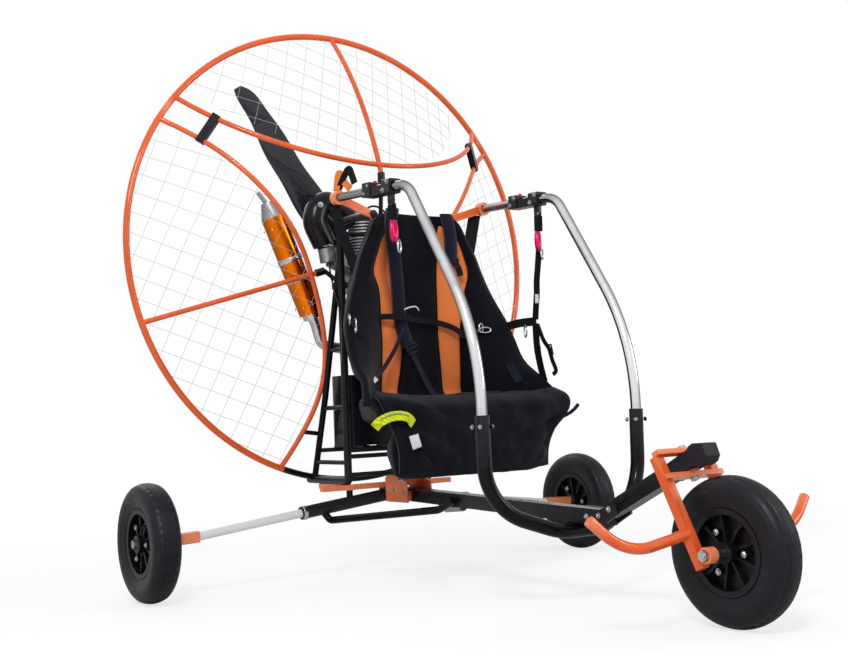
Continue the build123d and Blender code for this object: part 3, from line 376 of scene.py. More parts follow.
def smooth_row(points, count):
    """Points along a smooth curve through the given ones."""
    ends = [points[0] * 2 - points[1], *points, points[-1] * 2 - points[-2]]
    row = []
    for step in range(count):
        place = step / (count - 1) * (len(points) - 1)
        i = min(int(place), len(points) - 2)
        t = place - i
        a, b, c, d = ends[i:i + 4]
        row.append(
            0.5 * ((2 * b) + (c - a) * t + (2 * a - 5 * b + 4 * c - d) * t * t
                   + (3 * b - a - 3 * c + d) * t ** 3)
        )
    return row


def sheet(rows, down, across):
    """A grid of points on the smooth surface through rows of points."""
    levels = [smooth_row(column, down) for column in zip(*rows)]
    return [smooth_row([level[j] for level in levels], across) for j in range(down)]


def ripples(point, layers):
    """Uneven height at a point: layers of noise, each with its pitch and size."""
    return sum(noise.noise(point * pitch) * size for pitch, size in layers)


def skin(build, rings, capped=True):
    """Join closed rings of vertices by faces, with a lid on either end."""
    for first, second in zip(rings, rings[1:]):
        for k in range(len(first)):
            j = (k + 1) % len(first)
            build.faces.new((first[k], first[j], second[j], second[k]))
    if capped:
        build.faces.new(list(reversed(rings[0])))
        build.faces.new(rings[-1])


# The section of webbing with a raised edge: place across, place out
WEB_SECTION = (
    (-1, -0.6), (-1, 0.7), (-0.94, 1), (-0.85, 0.8), (0, 1), (0.85, 0.8), (0.94, 1), (1, 0.7),
    (1, -0.6), (0.9, -1), (-0.9, -1),
)


def web_strip(build, points, width, thick, facing, count):
    """Add one flat strap along a smooth curve to a bmesh."""
    row = smooth_row(points, count)
    face = Vector(facing)
    rings = []
    for i, point in enumerate(row):
        along = (row[min(i + 1, count - 1)] - row[max(i - 1, 0)]).normalized()
        across = along.cross(face).normalized()
        out = across.cross(along).normalized()
        rings.append([
            build.verts.new(point + across * (a * width / 2) + out * (o * thick / 2))
            for a, o in WEB_SECTION
        ])
    skin(build, rings)


def webbing(name, points, width, thick, material, facing, count=24):
    """A flat strap as one piece."""
    build = bmesh.new()
    web_strip(build, points, width, thick, facing, count)
    from_bmesh(name, build, material)


# How full a padded panel is across and down, and its ripples
FULL_ACROSS, FULL_DOWN = 0.45, 0.35
PANEL_RIPPLES = ((9, 1.0), (23, 0.4))


def shell(name, rows, thick, puff, material, nu, nv, wrinkle, back=(0, 1, 0)):
    """A padded panel over rows of points from the top down, swollen away from its back."""
    grid = sheet(rows, nv, nu)
    build = bmesh.new()
    front, rear = [], []
    behind = Vector(back).normalized()
    for j in range(nv):
        for i in range(nu):
            u, v = i / (nu - 1), j / (nv - 1)
            swell = (4 * u * (1 - u)) ** FULL_ACROSS * (4 * v * (1 - v)) ** FULL_DOWN
            point = grid[j][i]
            ripple = ripples(point, PANEL_RIPPLES) * wrinkle
            front.append(build.verts.new(point - behind * (puff * swell + ripple * swell)))
            rear.append(build.verts.new(point + behind * thick))
    for j in range(nv - 1):
        for i in range(nu - 1):
            k = j * nu + i
            build.faces.new((front[k], front[k + 1], front[k + nu + 1], front[k + nu]))
            build.faces.new((rear[k + nu], rear[k + nu + 1], rear[k + 1], rear[k]))
    rim = (
        list(range(nu)) + [j * nu + nu - 1 for j in range(1, nv)]
        + [(nv - 1) * nu + i for i in range(nu - 2, -1, -1)] + [j * nu for j in range(nv - 2, 0, -1)]
    )
    for a, b in zip(rim, rim[1:] + rim[:1]):
        build.faces.new((front[b], front[a], rear[a], rear[b]))
    from_bmesh(name, build, material)


def turned(build, centre, axis, profile, sides):
    """Add a solid of revolution: profile is a row of (place along axis, radius)."""
    along = Vector(axis).normalized()
    side = along.orthogonal().normalized()
    other = along.cross(side)
    turns = [2 * pi * k / sides for k in range(sides)]
    around = [side * cos(turn) + other * sin(turn) for turn in turns]
    skin(build, [
        [build.verts.new(centre + along * place + out * radius) for out in around]
        for place, radius in profile
    ])


# A washer's share of its bolt head's height, and the sides of washer, head and stud
WASHER_THICK = 0.25
WASHER_SIDES, HEX_SIDES, STUD_SIDES = 20, 6, 12


def bolts(name, spots, radius, height, body="chassis", washer=1.5):
    """Hexagon bolt heads, each on a round washer: (place on the surface, axis)."""
    build = bmesh.new()
    flat = height * WASHER_THICK
    for place, axis in spots:
        head = place + Vector(axis).normalized() * flat
        turned(build, place, axis, (
            (-flat, radius * washer), (flat * 0.6, radius * washer), (flat, radius * washer * 0.92),
        ), WASHER_SIDES)
        turned(build, head, axis, (
            (0, radius), (height * 0.7, radius), (height, radius * 0.82),
        ), HEX_SIDES)
        turned(build, head, axis, (
            (0, radius * 0.5), (height * 1.25, radius * 0.5), (height * 1.35, radius * 0.4),
        ), STUD_SIDES)
    from_bmesh(name, build, MAT["zinc"], body, smooth=False)


def arc_row(first, middle, last, count):
    """Points from first to last on the parabola through the middle one."""
    row = []
    for k in range(count):
        t = k / (count - 1)
        a, b, c = 2 * (t - 0.5) * (t - 1), 4 * t * (1 - t), 2 * t * (t - 0.5)
        row.append(tuple(a * p + b * q + c * r for p, q, r in zip(first, middle, last)))
    return row


# Tyres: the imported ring's section in millimetres, with road ribs and rings cut in
BEAD, BEAD_R, BARREL_R = 25.0, 95.0, 86.0
WALL = ((29.0, 97.0), (40.0, 134.0), (26.0, 159.0))
CROWN = ((-26.0, 159.0), (0.0, 165.0), (26.0, 159.0))
WALL_POINTS, CROWN_POINTS = 26, 75
# The wall's points that are set in as moulded rings, and how far
WALL_RINGS, WALL_RING_DEPTH = (5, 6, 19), 0.9
RIB_GROOVES = (0.0, 8.0, 16.0)
GROOVE_HALF, GROOVE_DEPTH = 1.4, 3.0
SIPE_FROM, SIPE_DEPTH, SIPE_EVERY = 18.5, 2.2, 4
TYRE_TURNS = 168
# Rim bolts and valve: out along the axle, radius and turn
RIM_BOLT_OUT, RIM_BOLT_R, RIM_BOLT_TURNS = 26, 49, (60, 180, 300)
VALVE_OUT, VALVE_R, VALVE_TURN, VALVE_LEAN = -20, 78, 2.2, -0.35
VALVE_STEM = (
    (0, 0.004), (0.008, 0.0038), (0.009, 0.003), (0.02, 0.003), (0.021, 0.0038), (0.026, 0.0036),
)


def tyre_profile():
    """The section from bead to bead: (across, radius, deepened by a sipe)."""
    wall = [(x, r, False) for x, r in arc_row(*WALL, WALL_POINTS)]
    for k in WALL_RINGS:
        x, r, _ = wall[k]
        wall[k] = (x - WALL_RING_DEPTH, r, False)
    crown = []
    for x, r in arc_row(*CROWN, CROWN_POINTS)[1:-1]:
        deep = any(abs(abs(x) - g) < GROOVE_HALF for g in RIB_GROOVES)
        crown.append((x, r - (GROOVE_DEPTH if deep else 0.0), abs(x) > SIPE_FROM))
    mirrored = [(-x, r, s) for x, r, s in wall]
    bead = [(-BEAD, BARREL_R, False), (-BEAD, BEAD_R, False)]
    return bead + mirrored + crown + wall[::-1] + [(-x, r, s) for x, r, s in bead[::-1]]


PROFILE = tyre_profile()


def off_hub(out, radius, angle):
    """A step from a wheel's middle in metres: out along its axle and round it."""
    return Vector((out, radius * cos(angle), radius * sin(angle))) / MM


def road_tyre(wheel, hub):
    """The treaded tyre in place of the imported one."""
    build = bmesh.new()
    rings = []
    for k in range(TYRE_TURNS):
        sipe = SIPE_DEPTH if k % SIPE_EVERY == 0 else 0.0
        angle = 2 * pi * k / TYRE_TURNS
        rings.append([
            build.verts.new(hub + off_hub(x, r - (sipe if siped else 0.0), angle))
            for x, r, siped in PROFILE
        ])
    skin(build, rings + rings[:1], capped=False)
    tyre = from_bmesh(f"road_tyre_{wheel}", build, MAT["rubber_black"], f"wheel_{wheel}")
    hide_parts(f"tyre_{wheel}")


def rim_bolts(wheel, hub):
    """Three bolts on each face of the rim."""
    heads = [
        (hub + off_hub(face * RIM_BOLT_OUT, RIM_BOLT_R, radians(turn)), (face, 0, 0))
        for turn in RIM_BOLT_TURNS for face in (-1, 1)
    ]
    bolts(f"rim_bolts_{wheel}", heads, 0.006, 0.003, f"wheel_{wheel}", washer=1.25)


def valve(wheel, hub):
    """The valve, which leans in from the rim towards the hub."""
    build = bmesh.new()
    axis = (VALVE_LEAN, -cos(VALVE_TURN), -sin(VALVE_TURN))
    turned(build, hub + off_hub(VALVE_OUT, VALVE_R, VALVE_TURN), axis, VALVE_STEM, 12)
    from_bmesh(f"valve_{wheel}", build, MAT["black_plastic"], f"wheel_{wheel}")


for wheel in ("front", "rear_left", "rear_right"):
    low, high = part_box(f"tyre_{wheel}")
    hub = (Vector(low) + Vector(high)) / 2
    road_tyre(wheel, hub)
    rim_bolts(wheel, hub)
    valve(wheel, hub)


# Harness: soft blocks grown from the plain solids, with padded panels on them
CLOTH_FRAMES = 20
CLOTH_PRESSURE = 4.0
VOXEL, VOXEL_QUICK = 0.008, 0.009
SOFT_RIPPLES = ((7, 1.0), (19, 0.5))


def inflate(piece, cap):
    """Swell a closed fabric form by cloth pressure, no point by more than the cap."""
    start = [vertex.co.copy() for vertex in piece.data.vertices]
    cloth = piece.modifiers.new("cloth", "CLOTH")
    cloth.settings.use_pressure = True
    cloth.settings.uniform_pressure_force = CLOTH_PRESSURE
    cloth.settings.effector_weights.gravity = 0
    for count in range(1, CLOTH_FRAMES + 1):
        bpy.context.scene.frame_set(count)
    seen = piece.evaluated_get(bpy.context.evaluated_depsgraph_get())
    swollen = [vertex.co.copy() for vertex in seen.data.vertices]
    piece.modifiers.clear()
    bpy.context.scene.frame_set(1)
    for vertex, old, new in zip(piece.data.vertices, start, swollen):
        move = new - old
        vertex.co = old + move * min(1.0, cap / max(move.length, 1e-9))


def soft_block(name, node, inset, cap, wrinkle, rounds, shape):
    """A stuffed form grown from a plain soft solid: rounded, swollen, creased."""
    build = bmesh.new()
    build.from_mesh(NODES[node].data)
    bmesh.ops.remove_doubles(build, verts=build.verts, dist=0.0002)
    piece = from_bmesh(name, build, FABRIC)
    remesh = piece.modifiers.new("remesh", "REMESH")
    remesh.mode = "VOXEL"
    remesh.voxel_size = VOXEL
    smooth = piece.modifiers.new("smooth", "SMOOTH")
    smooth.iterations = rounds
    smooth.factor = 0.7
    graph = bpy.context.evaluated_depsgraph_get()
    grown = bpy.data.meshes.new_from_object(piece.evaluated_get(graph))
    piece.modifiers.clear()
    piece.data = grown
    normals = [vertex.normal.copy() for vertex in grown.vertices]
    for vertex, normal in zip(grown.vertices, normals):
        vertex.co -= normal * inset
    inflate(piece, cap)
    for vertex, normal in zip(grown.vertices, normals):
        vertex.co = shape(vertex.co + normal * (ripples(vertex.co, SOFT_RIPPLES) * wrinkle))
    grown.polygons.foreach_set("use_smooth", [True] * len(grown.polygons))
    finer = piece.modifiers.new("finer", "SUBSURF")
    finer.levels = finer.render_levels = 1
    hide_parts(node)


# Rows down the back: height, seam's half width and depth
INNER_SEAM = (
    (1092, 92, -226), (1062, 78, -218), (1029, 75, -213), (970, 80, -202), (913, 81, -193),
    (854, 76, -199), (757, 66, -211), (707, 63, -216), (620, 72, -211), (552, 81, -206),
    (530, 84, -252))
OUTER_SEAM = (
    (1092, 100, -230), (1062, 88, -226), (1029, 131, -240), (970, 158, -241), (913, 174, -239),
    (854, 157, -239), (757, 147, -226), (707, 143, -223), (620, 145, -218), (552, 147, -215),
    (531, 150, -248))


def seam_at(seam, z):
    """Half width of a seam at a height in millimetres."""
    for (z0, x0, _), (z1, x1, _) in zip(seam, seam[1:]):
        if z >= z1:
            return x0 + (x1 - x0) * unit((z0 - z) / (z0 - z1))
    return seam[-1][1]


# How far forward the bucket may come behind the panels and the wings
PANEL_BED, WING_BED, BED_MARGIN = -172.0, -222.0, 6


def hollow_back(point):
    """Press the bucket's front in, behind the panels that lie on it."""
    x, y, z = in_mm(point)
    limit = PANEL_BED if abs(x) < seam_at(OUTER_SEAM, z) - BED_MARGIN else WING_BED
    return at(x, max(y, limit), z)


# The seat's top: channels sewn forward of a line, and its sunk middle
SEAT_TOP, CHANNELS_FROM = 530, -240
CHANNELS_ACROSS, CHANNELS_ALONG = (-330.0, -400.0), (-110.0, 110.0)
CHANNEL_DEPTH, CHANNEL_HALF = 5.0, 7.0
SINK, SINK_FROM, SINK_OVER, SINK_HALF = 24.0, 480.0, 60, 270
# Below, the seat draws in by a share of its width
SEAT_TAPER, TAPER_FROM, TAPER_OVER = 0.14, 522, 80


def trim_seat(point):
    """Press channels into the seat, sink its middle and draw its lower sides in."""
    x, y, z = in_mm(point)
    if z > SEAT_TOP and y < CHANNELS_FROM:
        for channel in CHANNELS_ACROSS:
            z -= CHANNEL_DEPTH * exp(-((y - channel) / CHANNEL_HALF) ** 2)
        for channel in CHANNELS_ALONG:
            z -= CHANNEL_DEPTH * exp(-((x - channel) / CHANNEL_HALF) ** 2)
    if z > SINK_FROM:
        middle = exp(-((x / SINK_HALF) ** 4))
        z -= SINK * middle * (z - SINK_FROM) / SINK_OVER
    taper = SEAT_TAPER * unit((TAPER_FROM - z) / TAPER_OVER)
    return at(x * (1 - taper), y, z)


# The bag's sag: its top and height, how far out, and the breadth it grows over
SAG_FROM, SAG_OVER, SAG_OUT, SAG_EDGE = 430, 120, 7.0, 60
BAG_FLOOR = 312.0


def sag_bag(point):
    """Let the bag's walls sag outward a little, low down, over a flat floor."""
    x, y, z = in_mm(point)
    bulge = SAG_OUT * sin(unit((SAG_FROM - z) / SAG_OVER) * pi)
    return at(x + (bulge if x > 0 else -bulge) * min(1.0, abs(x) / SAG_EDGE), y, max(z, BAG_FLOOR))


soft_block("harness_bucket", "backrest", 0.006, 0.010, 0.003, 10, hollow_back)
soft_block("seat_cushion", "seat", 0.006, 0.012, 0.003, 8, trim_seat)
soft_block("seat_container", "seat_bag", 0.008, 0.012, 0.006, 12, sag_bag)

# The centre panel: shares of its half width, and how far back it lies there
BACK_HOLLOW = ((-1, 0), (-0.5, 6), (0, 10), (0.5, 6), (1, 0))
# How far the orange panels' middle and the piping stand forward
PANEL_CROWN, PIPING_PROUD = 3, 3
SEAM_POINTS = 40

shell(
    "back_centre", [[at(w * share, y + back, z) for share, back in BACK_HOLLOW]
                    for z, w, y in INNER_SEAM],
    thick=0.045, puff=0.007, material=FABRIC, nu=22, nv=44, wrinkle=0.003,
)
# Side wings: inner, middle and outer edge, from the top down
WING_ROWS = (
    ((100, -230, 1090), (110, -236, 1092), (118, -232, 1088)),
    ((118, -236, 1072), (136, -239, 1074), (150, -232, 1070)),
    ((131, -240, 1029), (153, -247, 1028), (172, -236, 1028)),
    ((158, -241, 970), (181, -249, 970), (202, -240, 970)),
    ((174, -239, 913), (200, -249, 913), (223, -243, 914)),
    ((157, -239, 854), (208, -252, 850), (248, -254, 848)),
    ((147, -226, 757), (218, -262, 760), (283, -279, 764)),
    ((143, -223, 707), (222, -272, 708), (293, -300, 712)),
    ((143, -219, 640), (226, -285, 648), (300, -336, 640)),
    ((146, -216, 600), (232, -312, 590), (310, -405, 585)),
    ((150, -216, 530), (240, -330, 516), (343, -466, 516)),
)
piping = []
for side, sign in SIDES:
    rows = [
        places((sign * a, ya, z), (sign * (a + b) / 2, (ya + yb) / 2 - PANEL_CROWN, z),
               (sign * b, yb, z))
        for (z, a, ya), (_, b, yb) in zip(INNER_SEAM, OUTER_SEAM)
    ]
    shell(f"back_orange_{side}", rows[1:], thick=0.02, puff=0.006, material=ORANGE_CLOTH,
          nu=12, nv=44, wrinkle=0.0025)
    wing = [[at(sign * x, y, z) for x, y, z in row] for row in WING_ROWS]
    shell(f"back_wing_{side}", wing, thick=0.026, puff=0.01, material=FABRIC,
          nu=18, nv=48, wrinkle=0.005, back=(0.15 * sign, 1, 0))
    for seam in (INNER_SEAM, OUTER_SEAM):
        sewn = [at(sign * x, y - PIPING_PROUD, z) for z, x, y in seam]
        piping.append(smooth_row(sewn, SEAM_POINTS))
    piping.append(smooth_row([row[2] for row in wing], SEAM_POINTS))
curve_piece("harness_piping", piping, 0.0024, PIPING, smooth=False)

# The seat's front: loose fabric that hangs from the seat's edge over the container
APRON_ROWS = (
    ((-318, -440, 546), (-160, -446, 528), (0, -448, 524), (160, -446, 527), (322, -440, 544)),
    ((-326, -492, 522), (-160, -502, 506), (0, -503, 503), (160, -502, 505), (332, -490, 517)),
    ((-306, -494, 478), (-160, -500, 482), (0, -505, 480), (160, -502, 478), (316, -490, 472)),
    ((-278, -486, 430), (-150, -494, 426), (0, -499, 424), (150, -496, 424), (272, -484, 426)),
    ((-262, -476, 386), (-140, -490, 378), (0, -495, 376), (140, -491, 378), (256, -474, 384)),
    ((-252, -462, 330), (-140, -482, 322), (0, -486, 318), (140, -483, 320), (262, -460, 328)),
)
# Raised or pressed folds: start, end, half width and height
APRON_FOLDS = (
    ((-320, 540), (-60, 440), 16, 8.0),
    ((-290, 470), (-90, 360), 14, 7.0),
    ((-250, 430), (-120, 330), 12, -6.0),
    ((-60, 520), (240, 470), 20, -6.0),
    ((40, 470), (320, 500), 16, 7.0),
    ((120, 420), (310, 470), 14, -7.0),
    ((60, 380), (280, 350), 20, 7.0),
    ((-120, 350), (120, 340), 16, -5.0),
    ((200, 330), (300, 440), 12, 6.0),
)
FOLD_RISE = 1.7
# Points down and across, and how many its folds fade out over
APRON_DOWN, APRON_ACROSS, APRON_FADE = 64, 84, 6
APRON_RIPPLES = ((13, 0.009), (31, 0.004))


def apron_fold(x, z):
    """Depth of the folds in metres at a place in millimetres."""
    fold = 0.0
    for start, end, width, height in APRON_FOLDS:
        along, gap = (Vector(end) - Vector(start)), (Vector((x, z)) - Vector(start))
        share = unit(gap.dot(along) / along.length_squared)
        away = (gap - along * share).length
        fold += height * exp(-((away / width) ** 2)) * (0.35 + 0.65 * sin(pi * share))
    return fold * FOLD_RISE / MM


def seat_apron():
    """Hang the loose fabric over the seat's front edge, folded and lined."""
    build = bmesh.new()
    grid = []
    for j, line in enumerate(sheet([places(*row) for row in APRON_ROWS], APRON_DOWN, APRON_ACROSS)):
        grid.append([])
        for k, point in enumerate(line):
            edge = min(k, APRON_ACROSS - 1 - k, j, APRON_DOWN - 1 - j) / APRON_FADE
            lift = apron_fold(point.x * MM, point.z * MM) + ripples(point, APRON_RIPPLES)
            grid[-1].append(build.verts.new(point - Vector((0, lift * min(1.0, edge), 0))))
    for first, second in zip(grid, grid[1:]):
        for k in range(APRON_ACROSS - 1):
            build.faces.new((first[k], first[k + 1], second[k + 1], second[k]))
    apron = from_bmesh("seat_apron", build, FABRIC)
    lined = apron.modifiers.new("lining", "SOLIDIFY")
    lined.thickness = 0.012
    lined.offset = 1.0


seat_apron()

# Seams sewn along the orange panels: short thread stitches beside the piping
STITCH_ASIDE, STITCH_PROUD = 7, 5
STITCH_POINTS, STITCH_EVERY = 240, 3
stitches = []
for sign in (-1, 1):
    for seam, aside in ((INNER_SEAM, STITCH_ASIDE), (OUTER_SEAM, -STITCH_ASIDE)):
        sewn = [at(sign * (x + aside), y - STITCH_PROUD, z) for z, x, y in seam[2:]]
        row = smooth_row(sewn, STITCH_POINTS)
        stitches += [row[k:k + 2] for k in range(0, STITCH_POINTS - 2, STITCH_EVERY)]
curve_piece("panel_stitches", stitches, 0.0007, THREAD, smooth=False,
            sides=0)

# Shoulder straps: padded at the top, webbing below a slide buckle
STRAP_HALF, STRAP_CROWN = 20, 6
SHOULDERS = (
    # side, rows down its length, points along its middle
    ("right", 60, (
        (-107, -262, 1100), (-113, -262, 1064), (-112, -262, 1024), (-105, -260, 966),
        (-99, -258, 897), (-91, -250, 840), (-84, -242, 795), (-76, -240, 749), (-65, -242, 708),
        (-56, -244, 684))),
    ("left", 30, (
        (93, -252, 1096), (97, -258, 1065), (101, -260, 1023), (102, -258, 981), (102, -256, 946))),
)
for side, count, middle in SHOULDERS:
    rows = [places((x - STRAP_HALF, y, z), (x, y - STRAP_CROWN, z), (x + STRAP_HALF, y, z))
            for x, y, z in middle]
    shell(f"shoulder_{side}", rows, thick=0.012, puff=0.006, material=STRAP_CLOTH,
          nu=10, nv=count, wrinkle=0.001)

# Webbing: every flat strap by its points
STRAPS = (
    # name, points, width, thickness, material, facing
    ("web_right_low", ((-58, -250, 690), (-38, -246, 649), (-7, -240, 597), (14, -262, 540),
     (8, -320, 524)), 24, 2.2, STRAP_CLOTH, (0.2, -1, 0.4)),
    ("web_left_low", ((104, -258, 952), (120, -262, 930), (128, -262, 905)), 22, 2.2, WEBBING,
     (0, -1, 0)),
    ("web_right_thin", ((-80, -250, 745), (-111, -254, 690), (-148, -262, 644), (-198, -292, 607),
     (-240, -330, 590)), 14, 1.8, STRAP_CLOTH, (0.4, -1, 0.3)),
    ("chest_web", ((-162, -248, 777), (-139, -254, 778), (-113, -262, 777), (-85, -262, 776),
     (-50, -250, 773), (15, -228, 768), (44, -230, 766), (81, -246, 754),
     (108, -252, 742), (132, -250, 728)), 17, 2.0, WEBBING, (0, -1, 0)),
    ("hang_web_left", ((258, -487, 1062), (259, -485, 1038), (260, -483, 1016)), 25, 5.0, WEBBING,
     (-1, -0.6, 0)),
    ("riser_web_left", ((262, -478, 962), (264, -468, 918), (268, -454, 871), (272, -447, 835),
     (277, -434, 795), (284, -420, 760)), 19, 2.4, WEBBING, (-1, -0.6, 0)),
    ("hang_web_right", ((-258, -487, 1062), (-258, -491, 1040), (-258, -494, 1016)), 25, 5.0,
     WEBBING, (-1, -0.6, 0)),
    ("hip_web_left", ((296, -262, 750), (294, -317, 755), (288, -368, 755), (283, -424, 753)), 26,
     2.6, WEBBING, (-1, -0.2, 0)),
    ("hip_low_left", ((284, -420, 748), (300, -402, 683), (315, -394, 629), (328, -396, 572)), 22,
     2.4, WEBBING, (-1, -0.4, 0)),
    ("hip_thin_left", ((285, -427, 744), (300, -434, 696), (314, -441, 669), (325, -440, 636),
     (333, -446, 604), (334, -430, 592)), 13, 1.8, WEBBING, (-1, -0.4, 0)),
    ("hip_tail_left", ((312, -470, 458), (330, -490, 470), (346, -503, 484), (356, -514, 500)), 18,
     1.8, WEBBING, (-0.2, -0.4, 1)),
    ("hip_web_right", ((-284, -268, 752), (-286, -300, 756), (-284, -335, 744)), 22, 2.4, WEBBING,
     (-1, -0.3, 0)),
    ("frame_web_right", ((-270, -196, 1108), (-253, -203, 1030), (-230, -208, 966),
     (-212, -214, 905)), 30, 2.0, WEBBING, (-0.5, -1, 0)),
    ("frame_web_left", ((244, -192, 1112), (228, -196, 1060), (206, -206, 1000),
     (188, -216, 968)), 38, 2.0, WEBBING, (-0.5, -1, 0)),
    ("loop_orange", ((-262, -198, 1152), (-244, -185, 1208), (-243, -214, 1176), (-243, -246, 1150)),
     20, 2.4, ORANGE_CLOTH, (-0.8, -0.6, 0)),
    ("loop_black", ((-256, -196, 1152), (-236, -224, 1212), (-236, -246, 1190), (-238, -262, 1164)),
     20, 2.4, WEBBING, (-0.8, -0.6, 0)),
)
for name, points, width, thick, material, facing in STRAPS:
    webbing(name, places(*points), width / MM, thick / MM, material, facing)

# The yellow carrying handle with its two grey bands, on the seat's front corner
HANDLE = ((-343, -492, 458), (-332, -504, 473), (-305, -514, 485), (-278, -521, 487),
          (-254, -523, 480), (-236, -516, 464))
HANDLE_FACING = (-0.2, -1, 0.3)
BAND_LIFTS, BAND_PROUD = (-5, 5), 2.4
webbing("handle", places(*HANDLE), 0.026, 0.004, YELLOW, HANDLE_FACING, 32)
build = bmesh.new()
for lift in BAND_LIFTS:
    band = [at(x, y - BAND_PROUD, z + lift) for x, y, z in HANDLE[1:-1]]
    web_strip(build, band, 0.0035, 0.001, HANDLE_FACING, 28)
from_bmesh("handle_bands", build, GREY_CLOTH)


def frame_buckle(build, centre, across, along, width, height, bar):
    """A slide buckle: a rounded frame with a middle bar, facing away from the panel."""
    right, up = Vector(across).normalized() * (width / 2), Vector(along).normalized() * (height / 2)
    tip, tip_r = bar * 0.5, bar * 0.4
    for x0, y0, x1, y1 in ((-1, -1, 1, -1), (-1, 1, 1, 1), (-1, -1, -1, 1), (1, -1, 1, 1),
                           (-1, 0, 1, 0)):
        run = right * (x1 - x0) + up * (y1 - y0)
        turned(build, centre + right * x0 + up * y0, run, (
            (-tip, tip_r), (0, bar), (run.length, bar), (run.length + tip, tip_r),
        ), 8)


BUCKLES = (
    # place, direction across, direction along, width, height
    ((-56, -254, 684), (1, 0, 0.45), (-0.4, 0, 1), 0.036, 0.026),
    ((104, -262, 946), (1, 0, 0), (0, 0, 1), 0.034, 0.024),
    ((316, -444, 666), (0.3, 1, 0), (-0.2, 0, 1), 0.026, 0.03),
    ((132, -256, 728), (1, 0, 0.3), (-0.3, 0, 1), 0.022, 0.018),
    ((302, -404, 680), (0.3, 1, 0), (-0.2, 0, 1), 0.026, 0.02),
)
build = bmesh.new()
for place, across, along, width, height in BUCKLES:
    frame_buckle(build, at(*place), across, along, width, height, bar=0.0026)
from_bmesh("buckles", build, BUCKLE)

# White tags and labels, left bare
TAGS = (
    # points, width
    (((-222, -318, 596), (-236, -330, 590), (-246, -338, 586)), 0.013),
    (((271, -450, 832), (274, -444, 806)), 0.013),
    (((-233, -512, 434), (-228, -512, 416), (-221, -510, 398)), 0.026),
    (((118, -252, 862), (140, -256, 850)), 0.006),
    (((-83, -262, 799), (-63, -263, 806), (-40, -262, 808), (-28, -258, 796)), 0.004),
)
build = bmesh.new()
for points, width in TAGS:
    web_strip(build, places(*points), width, 0.0012, (-0.4, -1, 0.1), 8)
from_bmesh("white_tags", build, WHITE_TAG)

# A loop's steps, and how flat its gate's side is
HOOK_STEPS, HOOK_FLAT = 24, 0.8


def hook(centre, height, width, lean):
    """A loop: a D, flatter on one side, in an upright plane turned by lean."""
    row = []
    for k in range(HOOK_STEPS + 1):
        angle = 2 * pi * k / HOOK_STEPS
        x = cos(angle) * width / 2 * (1.0 if cos(angle) < 0 else HOOK_FLAT)
        z = sin(angle) * height / 2
        row.append(centre + Vector((x * cos(lean), x * sin(lean), z)))
    return row


for side, place in (("left", at(260, -479, 988)), ("right", at(-258, -495, 988))):
    curve_piece(f"carabiner_{side}", [hook(place, 0.058, 0.034, 0.6)], 0.0064, PINK,
                sides=3)

# Steel rings on the harness
RINGS = (
    # place, height, width, lean
    ((262, -492, 946), 0.03, 0.022, 0.6),
    ((-258, -518, 942), 0.034, 0.024, 0.6),
    ((289, -364, 728), 0.036, 0.026, 1.2),
    ((-285, -284, 764), 0.03, 0.024, 1.2),
    ((-285, -318, 744), 0.04, 0.022, 1.2),
    ((190, -272, 746), 0.026, 0.02, 0.2),
    ((200, -279, 738), 0.016, 0.044, -0.4),
)
silver = [hook(at(*place), height, width, lean) for place, height, width, lean in RINGS]
curve_piece("harness_rings", silver, 0.0026, MAT["zinc"])

# A flat loop sewn on the left wing
webbing("wing_loop", places((250, -328, 632), (254, -345, 602), (258, -363, 574)), 0.026, 0.003,
        STRAP_CLOTH, (-0.6, -0.8, 0.2))

# Bolts on clamps, plates and joints: (back, up), half thickness
ARM_X = 258
ARM_CLAMP, ARM_HALF = ((-497, 1122), (-475, 1102), (-400, 1128), (-380, 1108)), 20
NECK_PLATE, NECK_HALF = ((-951, 221), (-994, 225), (-1031, 242)), 25
KEEL_PLATE, KEEL_HALF = ((-165, 257), (-110, 263), (-144, 291)), 46
HOOP_JOINT, HOOP_HALF = ((-836, 452), (-868, 452)), 18


def both_faces(x, half, rows):
    """Bolts on the two faces of a part whose middle is at x."""
    return [(at(x + face * half, y, z), (face, 0, 0)) for y, z in rows for face in (-1, 1)]


def on_sides(half, rows):
    """The same on the right and the left arm or hoop."""
    return both_faces(-ARM_X, half, rows) + both_faces(ARM_X, half, rows)


bolts("arm_clamp_bolts", on_sides(ARM_HALF, ARM_CLAMP), 0.0048, 0.004)
heads = both_faces(0, NECK_HALF, NECK_PLATE) + both_faces(0, KEEL_HALF, KEEL_PLATE)
bolts("plate_bolts", heads, 0.0052, 0.004)
bolts("hoop_joint_bolts", on_sides(HOOP_HALF, HOOP_JOINT), 0.004, 0.0035)

# Red pins that stand square on the arm clamps
PINS = ((-404, 1131), (-466, 1108))
PIN_AXIS = (0, -0.34, 1)
PIN = ((0, 0.004), (0.005, 0.004), (0.0055, 0.0055), (0.011, 0.0055), (0.0125, 0.003))
build = bmesh.new()
for sign in (-1, 1):
    for y, z in PINS:
        turned(build, at(sign * ARM_X, y, z), PIN_AXIS, PIN, 12)
from_bmesh("red_pins", build, RED_PLASTIC)

# Clamp bands: how proud they stand, and their rounded edge
BAND_PROUD_R, BAND_EDGE = 0.0012, 0.001


def bands(name, rows, width):
    """Clamp bands round tubes: (centre, axis, radius of the tube)."""
    build = bmesh.new()
    half = width / 2
    for place, axis, radius in rows:
        inner, outer, crown = radius * 0.9, radius + BAND_PROUD_R, radius + BAND_PROUD_R * 1.5
        turned(build, place, axis, (
            (-half, inner), (-half, outer), (-half + BAND_EDGE, crown),
            (half - BAND_EDGE, crown), (half, outer), (half, inner),
        ), 40)
    from_bmesh(name, build, MAT["zinc"])


